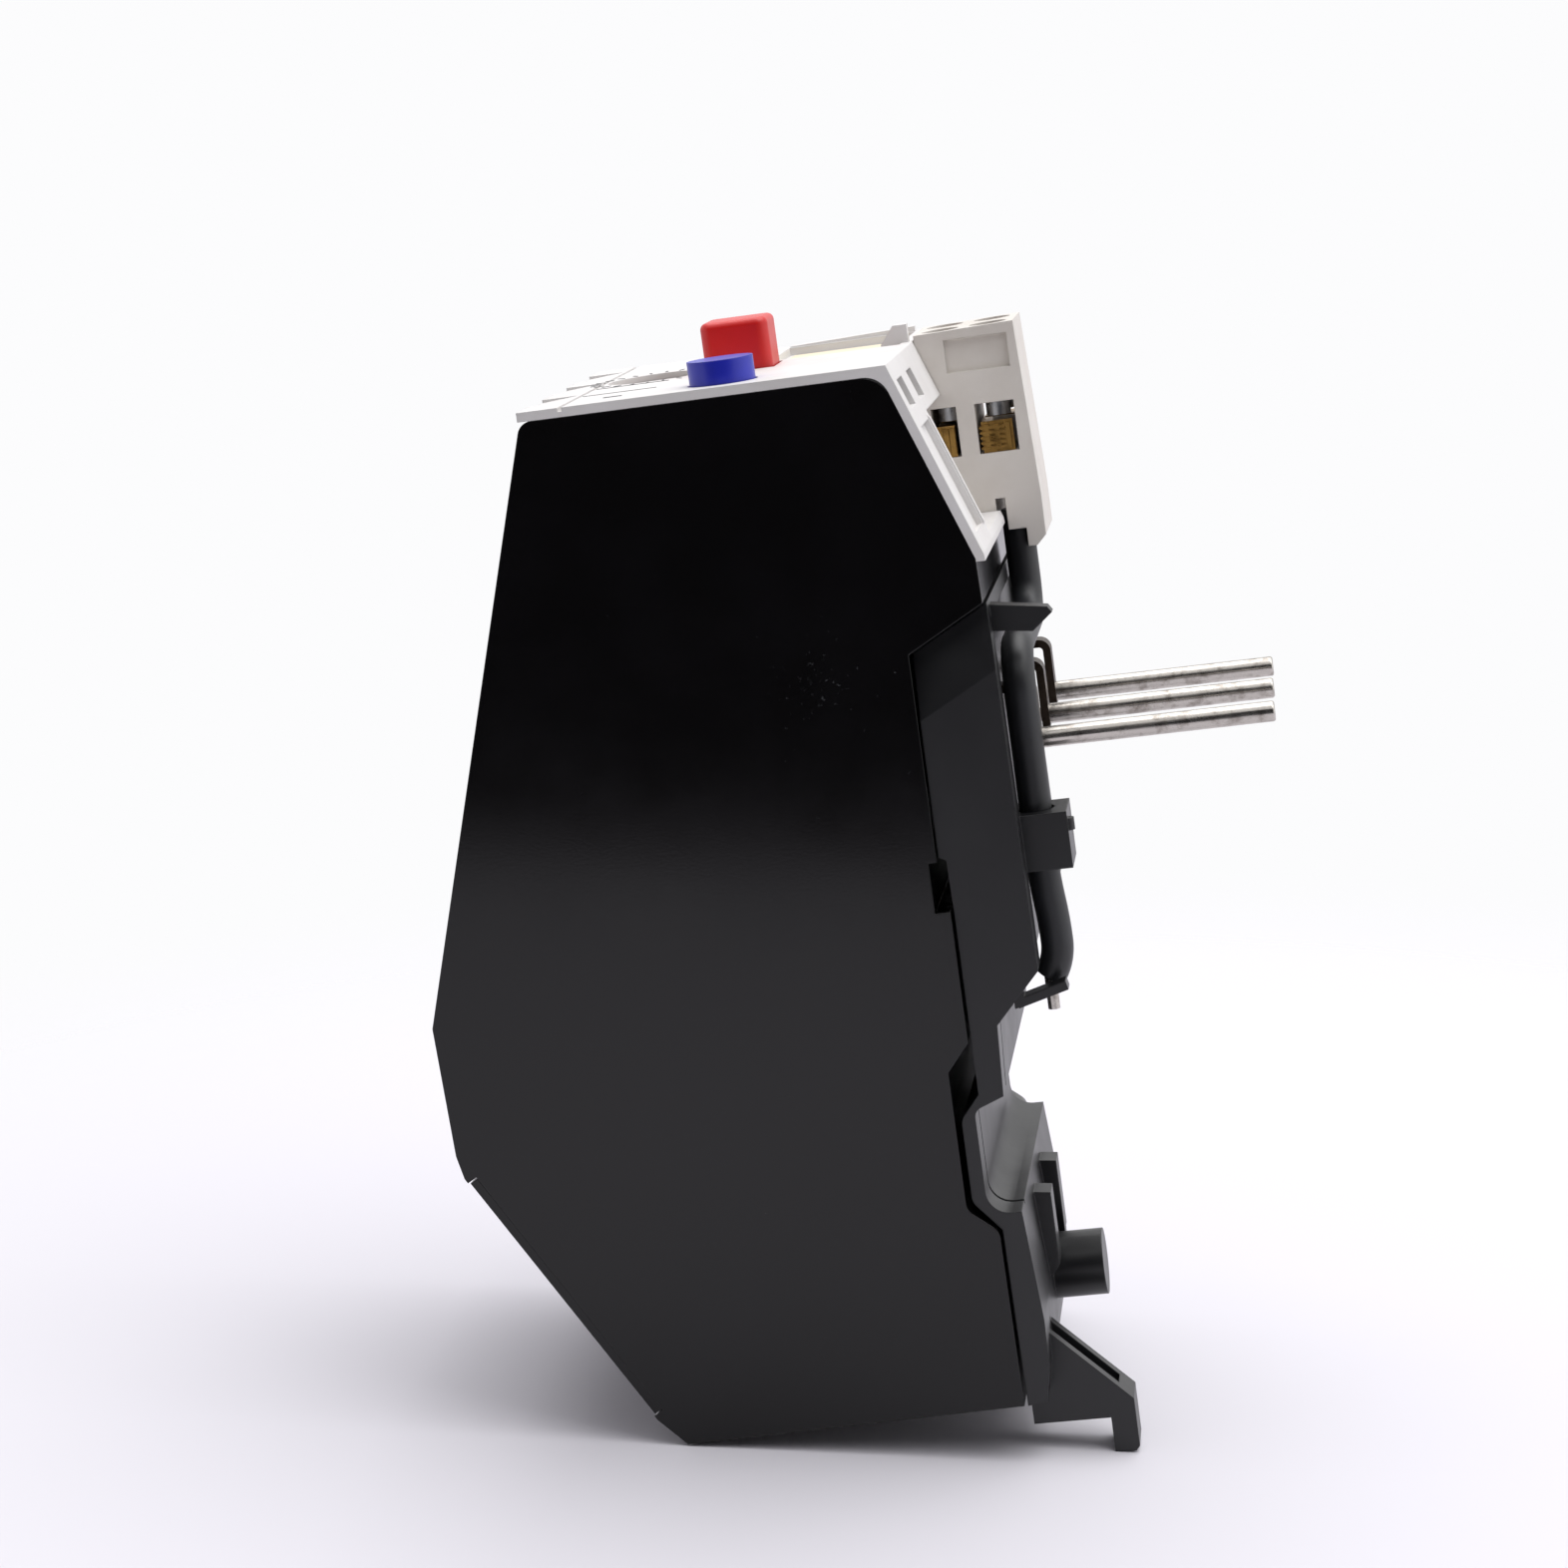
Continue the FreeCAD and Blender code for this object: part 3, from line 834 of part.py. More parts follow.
def reset_button():
    """Round reset button with its collar and guide stem."""
    body = new_body("reset_button")
    spot = ("reset_x", "reset_y")
    upward(body, "Pad", "cap", [spot + ("reset_radius",)], "collar_low_z", "cover_top_z+reset_height")
    upward(body, "Pad", "collar", [spot + ("reset_radius+collar_rim",)], "collar_low_z", "collar_top_z")
    upward(body, "Pad", "stem", [spot + ("stem_radius",)], "stem_low_z", "collar_low_z+0.1")
    return body


def stop_button():
    """Square stop button with its collar and guide stem."""
    body = new_body("stop_button")
    top = "cover_top_z+stop_height"
    cap = box("stop_x-stop_side/2", "stop_x+stop_side/2", "stop_y-stop_side/2", "stop_y+stop_side/2")
    upward(body, "Pad", "cap", [cap], "collar_low_z", top)
    corners = [("stop_x-stop_side/2", "stop_y-stop_side/2"), ("stop_x+stop_side/2", "stop_y-stop_side/2"),
               ("stop_x+stop_side/2", "stop_y+stop_side/2"), ("stop_x-stop_side/2", "stop_y+stop_side/2")]
    soften(body, "corners", "stop_round", "Z", corners)
    reach = "(stop_side/2+collar_rim)"
    skirt = box("stop_x-" + reach, "stop_x+" + reach, "stop_y-" + reach, "stop_y+" + reach)
    upward(body, "Pad", "collar", [skirt], "collar_low_z", "collar_top_z")
    upward(body, "Pad", "stem", [("stop_x", "stop_stem_y", "stem_radius")], "stem_low_z", "collar_low_z+0.1")
    rim(body, "crown", "0.6*stop_round", 2, top)
    return body


def coil_spring(label, x, y):
    """Compression spring between the frame boss and the button collar."""
    body = new_body(label)
    low = "boss_top_z+spring_wire"
    high = "collar_low_z-spring_wire"
    middle = x + "+spring_radius"
    square = [(middle + "-spring_wire", low), (middle, low + "-spring_wire"), (middle + "+spring_wire", low),
              (middle, low + "+spring_wire")]
    wire = draw(body, "wire", "XZ_Plane", [square], "-(" + y + ")")
    helix = body.newObject("PartDesign::AdditiveHelix", "coil")
    helix.Profile = wire
    axis = draw(body, "axis", "XZ_Plane", [[(x, low), (x, high), (x + "+0.01", high)]], "-(" + y + ")")
    helix.ReferenceAxis = (axis, ["Edge1"])
    helix.Mode = "height-turns-angle"
    bind(helix, "Height", "(" + high + ")-(" + low + ")")
    bind(helix, "Turns", "spring_turns")
    body.Tip = helix
    doc.recompute([body], True)
    return body


def trip_flag():
    """Yellow flag that shows in the front window."""
    body = new_body("trip_flag")
    blade = box("flag_piece_x", "flag_piece_x+flag_piece_length", "flag_piece_y",
                "flag_piece_y+flag_piece_thickness")
    upward(body, "Pad", "blade", [blade], "flag_piece_low_z", "cover_top_z-recess_depth+flag_piece_top")
    edge = "flag_collar"
    collar = box("flag_piece_x-" + edge, "flag_piece_x+flag_piece_length+" + edge, "flag_piece_y-" + edge,
                 "flag_piece_y+flag_piece_thickness+" + edge)
    upward(body, "Pad", "collar", [collar], "cover_under_z-flag_travel-fit-1",
           "cover_under_z-flag_travel-fit")
    return body


def current_dial():
    """Setting dial with its shoulder and threaded spindle."""
    body = new_body("current_dial")
    spot = ("dial_x", "dial_y")
    top = "cover_top_z-dial_sink"
    upward(body, "Pad", "spindle", [spot + ("dial_shaft",)], "dial_foot_z", top + "-1")
    upward(body, "Pad", "shoulder", [spot + ("dial_shoulder",)], "cover_under_z-fit-dial_shoulder_height",
           "cover_under_z-fit")
    upward(body, "Pad", "disc", [spot + ("dial_radius",)], "cover_under_z-fit-0.1", top)
    slot = box("dial_x-0.75*dial_radius", "dial_x+0.75*dial_radius", "dial_y-dial_slot/2",
               "dial_y+dial_slot/2")
    upward(body, "Pocket", "drive", [slot], top + "-dial_slot_depth", top + "+1")
    mark = box("dial_x-dial_slot", "dial_x+dial_slot", "dial_y+0.55*dial_radius", "dial_y+0.8*dial_radius")
    upward(body, "Pocket", "mark", [mark], top + "-dial_slot_depth/2", top + "+1")
    return body


def setting_slider():
    """Nut that the dial spindle moves along Z, kept straight by a post."""
    body = new_body("setting_slider")
    plate = box("post_x-post_radius-1", "dial_x+dial_shaft+1.4", "post_y-post_radius-1",
                "dial_y+dial_shaft+1.2")
    upward(body, "Pad", "plate", [plate], "slider_z", "slider_z+slider_thickness")
    upward(body, "Pocket", "thread", [("dial_x", "dial_y", "dial_shaft+run_gap")], "slider_z-1",
           "slider_z+slider_thickness+1")
    upward(body, "Pocket", "guide", [("post_x", "post_y", "post_radius+run_gap")], "slider_z-1",
           "slider_z+slider_thickness+1")
    return body


def cage_clamp(index, pole):
    """Box clamp that the main screw pulls up against the terminal bar."""
    body = new_body("main_clamp_%d" % index)
    outer = box(pole + "-cage_width/2", pole + "+cage_width/2", "cage_low_z", "cage_low_z+cage_height")
    lengthwise(body, "Pad", "cage", [outer], "clamp_x-cage_length/2", "clamp_x+cage_length/2")
    inner = box(pole + "-cage_width/2+cage_side", pole + "+cage_width/2-cage_side", "entry_floor",
                "cage_low_z+cage_height-cage_roof")
    lengthwise(body, "Pocket", "wire_space", [inner], "clamp_x-cage_length/2-1", "clamp_x+cage_length/2+1")
    upward(body, "Pocket", "thread", [("clamp_x", pole, "screw_radius+press_gap")],
           "cage_low_z+cage_height-cage_roof-0.1", "cage_low_z+cage_height+1")
    return body


def terminal_bar(index, pole):
    """Strip from the wire clamp down to the root of the bimetal."""
    body = new_body("terminal_bar_%d" % index)
    inner = "bar_leg_x+bar_thickness"
    end = "bimetal_x+bimetal_width/2+0.5"
    loop = [("bar_start_x", "bar_floor_z"), ("bar_leg_x", "bar_floor_z"), ("bar_leg_x", "bar_foot_z"),
            (end, "bar_foot_z"),
            (end, "bimetal_root_z"), (inner, "bimetal_root_z"), (inner, "bar_top_z"),
            ("bar_start_x", "bar_top_z")]
    across(body, "Pad", "strip", [loop], pole + "-bar_width/2", pole + "+bar_width/2")
    soften(body, "outer_bends", "bar_thickness+0.3", "Y", [(inner, "bar_top_z"), ("bar_leg_x", "bar_foot_z")])
    return body


def bimetal(index, pole):
    """Upright bimetal strip."""
    body = new_body("bimetal_%d" % index)
    strip = box("bimetal_x-bimetal_width/2", "bimetal_x+bimetal_width/2", pole + "-bimetal_thickness/2",
                pole + "+bimetal_thickness/2")
    upward(body, "Pad", "strip", [strip], "bimetal_root_z+press_gap", "bimetal_tip_z")
    return body


def heater(index, pole):
    """Insulating sleeve with a flat winding around the bimetal."""
    body = new_body("heater_%d" % index)

    def ring(grow):
        return box("bimetal_x-bimetal_width/2-" + grow, "bimetal_x+bimetal_width/2+" + grow,
                   pole + "-bimetal_thickness/2-" + grow, pole + "+bimetal_thickness/2+" + grow)

    upward(body, "Pad", "sleeve", [ring("(press_gap+sleeve_wall)"), ring("press_gap")], "sleeve_low_z",
           "sleeve_high_z")
    turn = upward(body, "Pad", "turn", [ring("(press_gap+sleeve_wall+winding_thickness)"),
                                        ring("(press_gap+0.5*sleeve_wall)")],
                  "sleeve_low_z+1", "sleeve_low_z+1+winding_height")
    rows = body.newObject("PartDesign::LinearPattern", "turns")
    rows.Originals = [turn]
    roles = {item.Role: item for item in body.Origin.OriginFeatures}
    rows.Direction = (roles["Z_Axis"], [""])
    bind(rows, "Length", "(winding_turns-1)*winding_pitch")
    rows.Occurrences = int(number("winding_turns"))
    body.Tip = rows
    doc.recompute([body], True)
    return body


def slide_bar(label, low):
    """Slide bar with a window for every bimetal tip and for the lever strip."""
    body = new_body(label)
    plate = box("slide_left_x", "slide_right_x", "slide_start_y", "slide_end_y")
    high = low + "+slide_thickness"
    upward(body, "Pad", "plate", [plate], low, high)
    for index, pole in poles():
        window = box("bimetal_x-bimetal_width/2-slack", "bimetal_x+bimetal_width/2+slack",
                     pole + "-bimetal_thickness/2-slack", pole + "+bimetal_thickness/2+slack")
        upward(body, "Pocket", "window_%d" % index, [window], low + "-1", high + "+1")
    gate = box("strip_left_x-slack", "strip_left_x+strip_width+slack", "lever_far_y-slack",
               "lever_far_y+strip_thickness+slack")
    upward(body, "Pocket", "strip_window", [gate], low + "-1", high + "+1")
    return body


def mechanism_frame():
    """Inner frame that carries the lever, the stems, the dial spindle and the contacts."""
    body = new_body("mechanism_frame")
    plate = box("frame_left_x", "frame_right_x", "-inner_half+fit", "inner_half-fit")
    upward(body, "Pad", "plate", [plate], "frame_z", "frame_top_z")
    near_leg = box("frame_left_x+6", "frame_right_x", "-inner_half+fit", "-inner_half+fit+frame_leg")
    far_leg = box("frame_left_x+6", "frame_right_x", "inner_half-fit-frame_leg", "inner_half-fit")
    upward(body, "Pad", "near_leg", [near_leg], "frame_foot_z", "frame_z+0.1")
    upward(body, "Pad", "far_leg", [far_leg], "frame_foot_z", "frame_z+0.1")
    for name, x, y in (("reset", "reset_x", "reset_y"), ("stop", "stop_x", "stop_stem_y")):
        upward(body, "Pad", name + "_boss", [(x, y, "boss_radius")], "frame_top_z-0.1", "boss_top_z")
        upward(body, "Pocket", name + "_guide", [(x, y, "stem_radius+run_gap")], "frame_z-1", "boss_top_z+1")
    upward(body, "Pad", "post", [("post_x", "post_y", "post_radius")], "frame_top_z-0.1",
           "slider_z+slider_thickness+1.5")
    upward(body, "Pocket", "spindle_socket", [("dial_x", "dial_y", "dial_shaft+run_gap")],
           "dial_foot_z-0.1", "frame_top_z+1")
    gate = box("lever_x-slack", "lever_x+lever_width+slack", "lever_near_y-lever_swing", "lever_far_y+slack")
    upward(body, "Pocket", "lever_gate", [gate], "frame_z-1", "frame_top_z+1")
    for name, start in (("left_lug", "lever_x-lug_gap-lug_thickness"),
                        ("right_lug", "lever_x+lever_width+lug_gap")):
        lug = box("lever_y-lever_hub", "lever_y+lever_hub", "lever_pivot_z-lever_hub", "frame_z+0.1")
        lengthwise(body, "Pad", name, [lug], start, start + "+lug_thickness")
        lengthwise(body, "Pocket", name + "_hole", [("lever_y", "lever_pivot_z", "pivot_radius+run_gap")],
                   start + "-0.1",
                   start + "+lug_thickness+0.1")
    return body


def trip_lever():
    """Lever that carries the slide bar's push up to the contact leaves."""
    body = new_body("trip_lever")
    arm = box("lever_near_y", "lever_far_y", "strip_low_z+3", "lever_top_z")
    lengthwise(body, "Pad", "arm", [arm], "lever_x", "lever_x+lever_width")
    hub = ("lever_y", "lever_pivot_z", "lever_hub")
    lengthwise(body, "Pad", "hub", [hub], "lever_x", "lever_x+lever_width")
    pin = ("lever_y", "lever_pivot_z", "pivot_radius")
    lengthwise(body, "Pad", "pivot", [pin], "lever_x-lug_gap-lug_thickness",
               "lever_x+lever_width+lug_gap+lug_thickness")
    beam = box("lever_near_y", "lever_far_y", "lever_top_z-beam_height", "lever_top_z")
    lengthwise(body, "Pad", "beam", [beam], "lever_x", "beam_end_x")
    return body


def compensation_strip():
    """Second bimetal on the lever, which cancels the room temperature."""
    body = new_body("compensation_strip")
    strip = box("strip_left_x", "strip_left_x+strip_width", "lever_far_y", "lever_far_y+strip_thickness")
    upward(body, "Pad", "strip", [strip], "strip_low_z", "strip_high_z")
    return body


def leaf(label, x, side):
    """Contact leaf with its rivet on one side."""
    body = new_body(label)
    blade = box(x, x + "+leaf_width", "leaf_y-leaf_thickness/2", "leaf_y+leaf_thickness/2")
    upward(body, "Pad", "blade", [blade], "leaf_low_z", "leaf_top_z")
    start = "leaf_y+leaf_thickness/2-0.1" if side > 0 else "leaf_y-leaf_thickness/2-rivet_height"
    end = "leaf_y+leaf_thickness/2+rivet_height" if side > 0 else "leaf_y-leaf_thickness/2+0.1"
    across(body, "Pad", "rivet", [(x + "+leaf_width/2", "rivet_z", "rivet_radius")], start, end)
    return body


def closed_contact():
    """Fixed contact that touches the closed leaf at rest."""
    body = new_body("nc_contact")
    face = "leaf_y+leaf_thickness/2+2*rivet_height"
    loop = [("nc_x", "bracket_arm_z"), ("bracket_post_x", "bracket_arm_z"), ("bracket_post_x", "frame_top_z"),
            ("bracket_end_x", "frame_top_z"), ("bracket_end_x", "leaf_top_z"), ("nc_x", "leaf_top_z")]
    across(body, "Pad", "plate", [loop], face, face + "+bracket_thickness")
    across(body, "Pad", "rivet", [("nc_x+leaf_width/2", "rivet_z", "rivet_radius")],
           face + "-rivet_height", face + "+0.1")
    return body


def open_contact():
    """Fixed contact with its gap in front of the open leaf."""
    body = new_body("no_contact")
    face = "leaf_y-leaf_thickness/2-2*rivet_height-no_gap"
    plate = box("no_x", "no_x+leaf_width", face + "-bracket_thickness", face)
    upward(body, "Pad", "plate", [plate], "frame_top_z", "leaf_top_z")
    across(body, "Pad", "rivet", [("no_x+leaf_width/2", "rivet_z", "rivet_radius")], face + "-0.1",
           face + "+rivet_height")
    return body


def build():
    """Make every piece of the relay."""
    housing()
    rear_plate()
    front_cover()
    aux_block()
    mounting_base()
    for index, pole in poles():
        plug_pin(index, pole)
        pole_link(index, pole)
        slotted_screw("main_screw_%d" % index, "clamp_x", pole, "well_floor_z", "bar_top_z", "screw_radius",
                      "head_radius", "head_height")
        cage_clamp(index, pole)
        terminal_bar(index, pole)
        bimetal(index, pole)
        heater(index, pole)
    for index, (x, y) in enumerate(aux_places(), start=1):
        slotted_screw("aux_screw_%d" % index, x, "(" + y + ")", "aux_seat_z", "aux_shank_low_z",
                      "aux_shank_radius",
                      "aux_head_radius", "aux_head_height")
    aux_clamps()
    lead_tip(connecting_lead())
    reset_button()
    stop_button()
    coil_spring("reset_spring", "reset_x", "reset_y")
    coil_spring("stop_spring", "stop_x", "stop_stem_y")
    trip_flag()
    current_dial()
    setting_slider()
    slide_bar("push_bar", "bar_slide_z")
    slide_bar("release_bar", "(bar_slide_z+slide_thickness+slide_gap)")
    mechanism_frame()
    trip_lever()
    compensation_strip()
    leaf("nc_spring", "nc_x", 1)
    leaf("no_spring", "no_x", -1)
    closed_contact()
    open_contact()


def export():
    """Check every piece and write it out."""
    doc.recompute()
    for item in doc.Objects:
        if "Invalid" in item.State or "Error" in item.State:
            raise RuntimeError(item.Label + " does not recompute")
    os.makedirs("parts", exist_ok=True)
    for piece in pieces:
        shape = piece.Shape
        if shape.isNull() or not shape.isValid() or not shape.Solids:
            raise RuntimeError(piece.Label + " is not a sound solid")
        shape.exportStep("parts/%s.step" % piece.Label)
        limits = shape.BoundBox
        print("%-20s %d solid  %8.1f mm3  x %6.1f..%6.1f y %6.1f..%6.1f z %6.1f..%6.1f" % (
            piece.Label, len(shape.Solids), shape.Volume, limits.XMin, limits.XMax, limits.YMin, limits.YMax,
            limits.ZMin, limits.ZMax))


doc = FreeCAD.newDocument("overload_relay")
sheet = make_sheet()
pieces = []
last_volume = {}
build()
export()
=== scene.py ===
"""Looks of a plug-on thermal overload relay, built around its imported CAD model.

Run inside Blender. The object stands in the row frame: X along the plug pins,
Y across the width, Z towards the front face. Lengths are in metres unless a
name ends in _mm.
"""

import json
import logging
import math
from dataclasses import dataclass
from enum import Enum
from typing import Any, Iterable, Optional, Sequence

import bmesh
import bpy
from mathutils import Matrix, Vector

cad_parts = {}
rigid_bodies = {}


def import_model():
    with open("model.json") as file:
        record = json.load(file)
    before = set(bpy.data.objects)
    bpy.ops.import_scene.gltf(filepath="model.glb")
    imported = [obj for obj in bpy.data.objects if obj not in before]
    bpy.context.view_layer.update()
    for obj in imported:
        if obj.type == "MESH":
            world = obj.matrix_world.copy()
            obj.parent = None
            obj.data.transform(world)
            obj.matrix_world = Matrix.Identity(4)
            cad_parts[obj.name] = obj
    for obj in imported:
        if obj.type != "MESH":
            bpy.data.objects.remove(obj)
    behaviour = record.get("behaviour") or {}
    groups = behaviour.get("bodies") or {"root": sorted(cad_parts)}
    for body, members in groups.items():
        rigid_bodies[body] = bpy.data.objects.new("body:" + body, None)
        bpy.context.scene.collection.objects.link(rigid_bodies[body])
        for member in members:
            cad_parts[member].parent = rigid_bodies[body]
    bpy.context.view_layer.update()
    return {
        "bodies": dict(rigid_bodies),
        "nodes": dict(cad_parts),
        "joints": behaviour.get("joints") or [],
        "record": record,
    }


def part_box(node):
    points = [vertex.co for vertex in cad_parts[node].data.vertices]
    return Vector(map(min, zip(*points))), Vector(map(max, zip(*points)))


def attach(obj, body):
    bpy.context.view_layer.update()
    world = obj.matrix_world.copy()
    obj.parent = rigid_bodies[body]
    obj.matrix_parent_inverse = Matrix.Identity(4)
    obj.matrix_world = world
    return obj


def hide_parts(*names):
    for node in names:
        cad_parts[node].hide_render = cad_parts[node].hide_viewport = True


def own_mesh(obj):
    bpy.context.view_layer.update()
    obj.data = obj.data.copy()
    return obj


LOG = logging.getLogger("relay")
MM = 0.001
# Thickness of printed ink and of the label.
FILM = 0.04 * MM


class Slot(Enum):
    """Material slots of the record."""

    HOUSING = "housing_black"
    BASE = "base_black"
    COVER = "cover_grey"
    BLOCK = "block_grey"
    DIAL = "dial_grey"
    RESET = "button_blue"
    STOP = "button_red"
    FLAG = "flag_yellow"
    LEAD = "lead_black"
    TIN = "tinned_copper"
    COPPER = "dark_copper"
    STEEL = "plated_steel"
    BRASS = "brass"
    BIMETAL = "bimetal"
    SLEEVE = "heater_sleeve"
    SLIDE = "slide_white"
    FRAME = "frame_natural"
    SPRING = "spring_steel"
    SILVER = "silver_alloy"


class Body(Enum):
    """Rigid bodies that scene pieces ride on."""

    RELAY = "relay_body"
    DIAL = "current_dial"


def linear(hex_colour: str) -> tuple[float, float, float, float]:
    """Turns an sRGB hex colour into linear light.

    Args:
        hex_colour: six hex digits, with or without the leading mark.

    Returns:
        Red, green, blue and an alpha of 1.
    """
    digits = hex_colour.lstrip("#")
    values = [int(digits[place:place + 2], 16) / 255 for place in (0, 2, 4)]
    lights = [v / 12.92 if v <= 0.04045 else ((v + 0.055) / 1.055) ** 2.4 for v in values]
    return (lights[0], lights[1], lights[2], 1.0)


def add_node(
    tree: bpy.types.NodeTree, kind: str, links: Optional[dict[Any, Any]] = None, **settings: Any
) -> bpy.types.Node:
    """Adds one node with its settings and its incoming links.

    Args:
        tree: node tree that takes the node.
        kind: Blender's name for the node's type.
        links: input name or number, to an output socket or to a plain value.
        settings: properties of the node itself.

    Returns:
        The new node.
    """
    node = tree.nodes.new(kind)
    for name, value in settings.items():
        setattr(node, name, value)
    for socket, source in (links or {}).items():
        if isinstance(source, bpy.types.NodeSocket):
            tree.links.new(source, node.inputs[socket])
        else:
            node.inputs[socket].default_value = source
    return node


def new_material(name: str) -> tuple[bpy.types.Material, bpy.types.NodeTree, bpy.types.Node]:
    """Makes an empty node material with a surface shader.

    Args:
        name: name of the finish.

    Returns:
        The material, its tree and its Principled node.
    """
    material = bpy.data.materials.new(name)
    material.use_nodes = True
    tree = material.node_tree
    tree.nodes.clear()
    shader = add_node(tree, "ShaderNodeBsdfPrincipled")
    add_node(tree, "ShaderNodeOutputMaterial", {"Surface": shader.outputs["BSDF"]})
    return material, tree, shader


@dataclass(frozen=True)
class MouldedPlastic:
    """Injection-moulded plastic with the fine sparkle of an eroded mould.

    Attributes:
        name: common name of the material.
        colour: sRGB hex of the clean surface.
        soiled: sRGB hex where it is a little rubbed or dusty.
        roughness: mean roughness.
        spread: how far the roughness wanders either way.
        grain_mm: size of the mould's grain, drawn coarser than the real one so that it shows.
        relief: strength of the grain.
        ior: refractive index.
        edge_mm: radius that the mould leaves on every edge.
        level: strength of the surface gloss, 0.5 for a clean face.
        cloud_mm: size of the soft patches of wear.
    """

    name: str
    colour: str
    soiled: str
    roughness: float
    spread: float = 0.05
    grain_mm: float = 0.35
    relief: float = 0.06
    ior: float = 1.53
    edge_mm: float = 0.18
    level: float = 0.5
    cloud_mm: float = 100 / 9

    def make(self) -> bpy.types.Material:
        """Builds the material.

        Returns:
            The material.
        """
        material, tree, shader = new_material(self.name)
        place = add_node(tree, "ShaderNodeTexCoord").outputs["Object"]
        cloud = add_node(tree, "ShaderNodeTexNoise",
                         {"Vector": place, "Scale": 1 / (self.cloud_mm * MM),
                          "Detail": 5.0, "Roughness": 0.6})
        grain = add_node(tree, "ShaderNodeTexNoise",
                         {"Vector": place, "Scale": 1 / (self.grain_mm * MM),
                          "Detail": 2.0, "Roughness": 0.5})
        share = add_node(tree, "ShaderNodeMapRange",
                         {"Value": cloud.outputs["Fac"], "From Min": 0.42, "From Max": 0.78})
        mix = add_node(tree, "ShaderNodeMix",
                       {"Factor": share.outputs["Result"], "A": linear(self.colour),
                        "B": linear(self.soiled)}, data_type="RGBA")
        colour = next(socket for socket in mix.outputs if socket.type == "RGBA")
        tree.links.new(colour, shader.inputs["Base Color"])
        gloss = add_node(tree, "ShaderNodeMapRange",
                         {"Value": cloud.outputs["Fac"], "From Min": 0.3, "From Max": 0.7,
                          "To Min": self.roughness - self.spread, "To Max": self.roughness + self.spread})
        tree.links.new(gloss.outputs["Result"], shader.inputs["Roughness"])
        shader.inputs["IOR"].default_value = self.ior
        shader.inputs["Specular IOR Level"].default_value = self.level
        edge = add_node(tree, "ShaderNodeBevel", {"Radius": self.edge_mm * MM}, samples=4)
        bump = add_node(tree, "ShaderNodeBump",
                        {"Height": grain.outputs["Fac"], "Strength": self.relief, "Distance": 0.05 * MM,
                         "Normal": edge.outputs["Normal"]})
        tree.links.new(bump.outputs["Normal"], shader.inputs["Normal"])
        return material


@dataclass(frozen=True)
class ScuffedPlastic(MouldedPlastic):
    """Glossy black moulding with a few pale rub marks where it was handled.

    Attributes:
        scuff: sRGB hex of the rub marks.
        scuff_place: middle of the rubbed patch.
        scuff_reach_mm: how far the patch spreads.
        fleck_mm: spacing of the single marks.
    """

    scuff: str = "5f6264"
    scuff_place: tuple[float, float, float] = (-0.020, -0.0225, 0.009)
    scuff_reach_mm: float = 9.0
    fleck_mm: float = 2 / 3

    def make(self) -> bpy.types.Material:
        """Builds the plastic and lays the rub marks over it.

        Returns:
            The material.
        """
        material = super().make()
        tree = material.node_tree
        shader = next(node for node in tree.nodes if node.type == "BSDF_PRINCIPLED")
        place = next(node for node in tree.nodes if node.type == "TEX_COORD").outputs["Object"]
        base = shader.inputs["Base Color"].links[0].from_socket
        offset = add_node(tree, "ShaderNodeVectorMath", {0: place, 1: self.scuff_place}, operation="DISTANCE")
        near = add_node(tree, "ShaderNodeMapRange",
                        {"Value": offset.outputs["Value"], "From Min": 0.0,
                         "From Max": self.scuff_reach_mm * MM, "To Min": 0.14, "To Max": 0.0})
        flecks = add_node(tree, "ShaderNodeTexNoise",
                          {"Vector": place, "Scale": 1 / (self.fleck_mm * MM),
                           "Detail": 3.0, "Roughness": 0.7})
        summed = add_node(tree, "ShaderNodeMath",
                          {0: flecks.outputs["Fac"], 1: near.outputs["Result"]}, operation="ADD")
        cut = add_node(tree, "ShaderNodeMapRange",
                       {"Value": summed.outputs["Value"], "From Min": 0.74, "From Max": 0.84, "To Max": 0.7})
        mix = add_node(tree, "ShaderNodeMix",
                       {"Factor": cut.outputs["Result"], "A": base, "B": linear(self.scuff)},
                       data_type="RGBA")
        colour = next(socket for socket in mix.outputs if socket.type == "RGBA")
        tree.links.new(colour, shader.inputs["Base Color"])
        return material


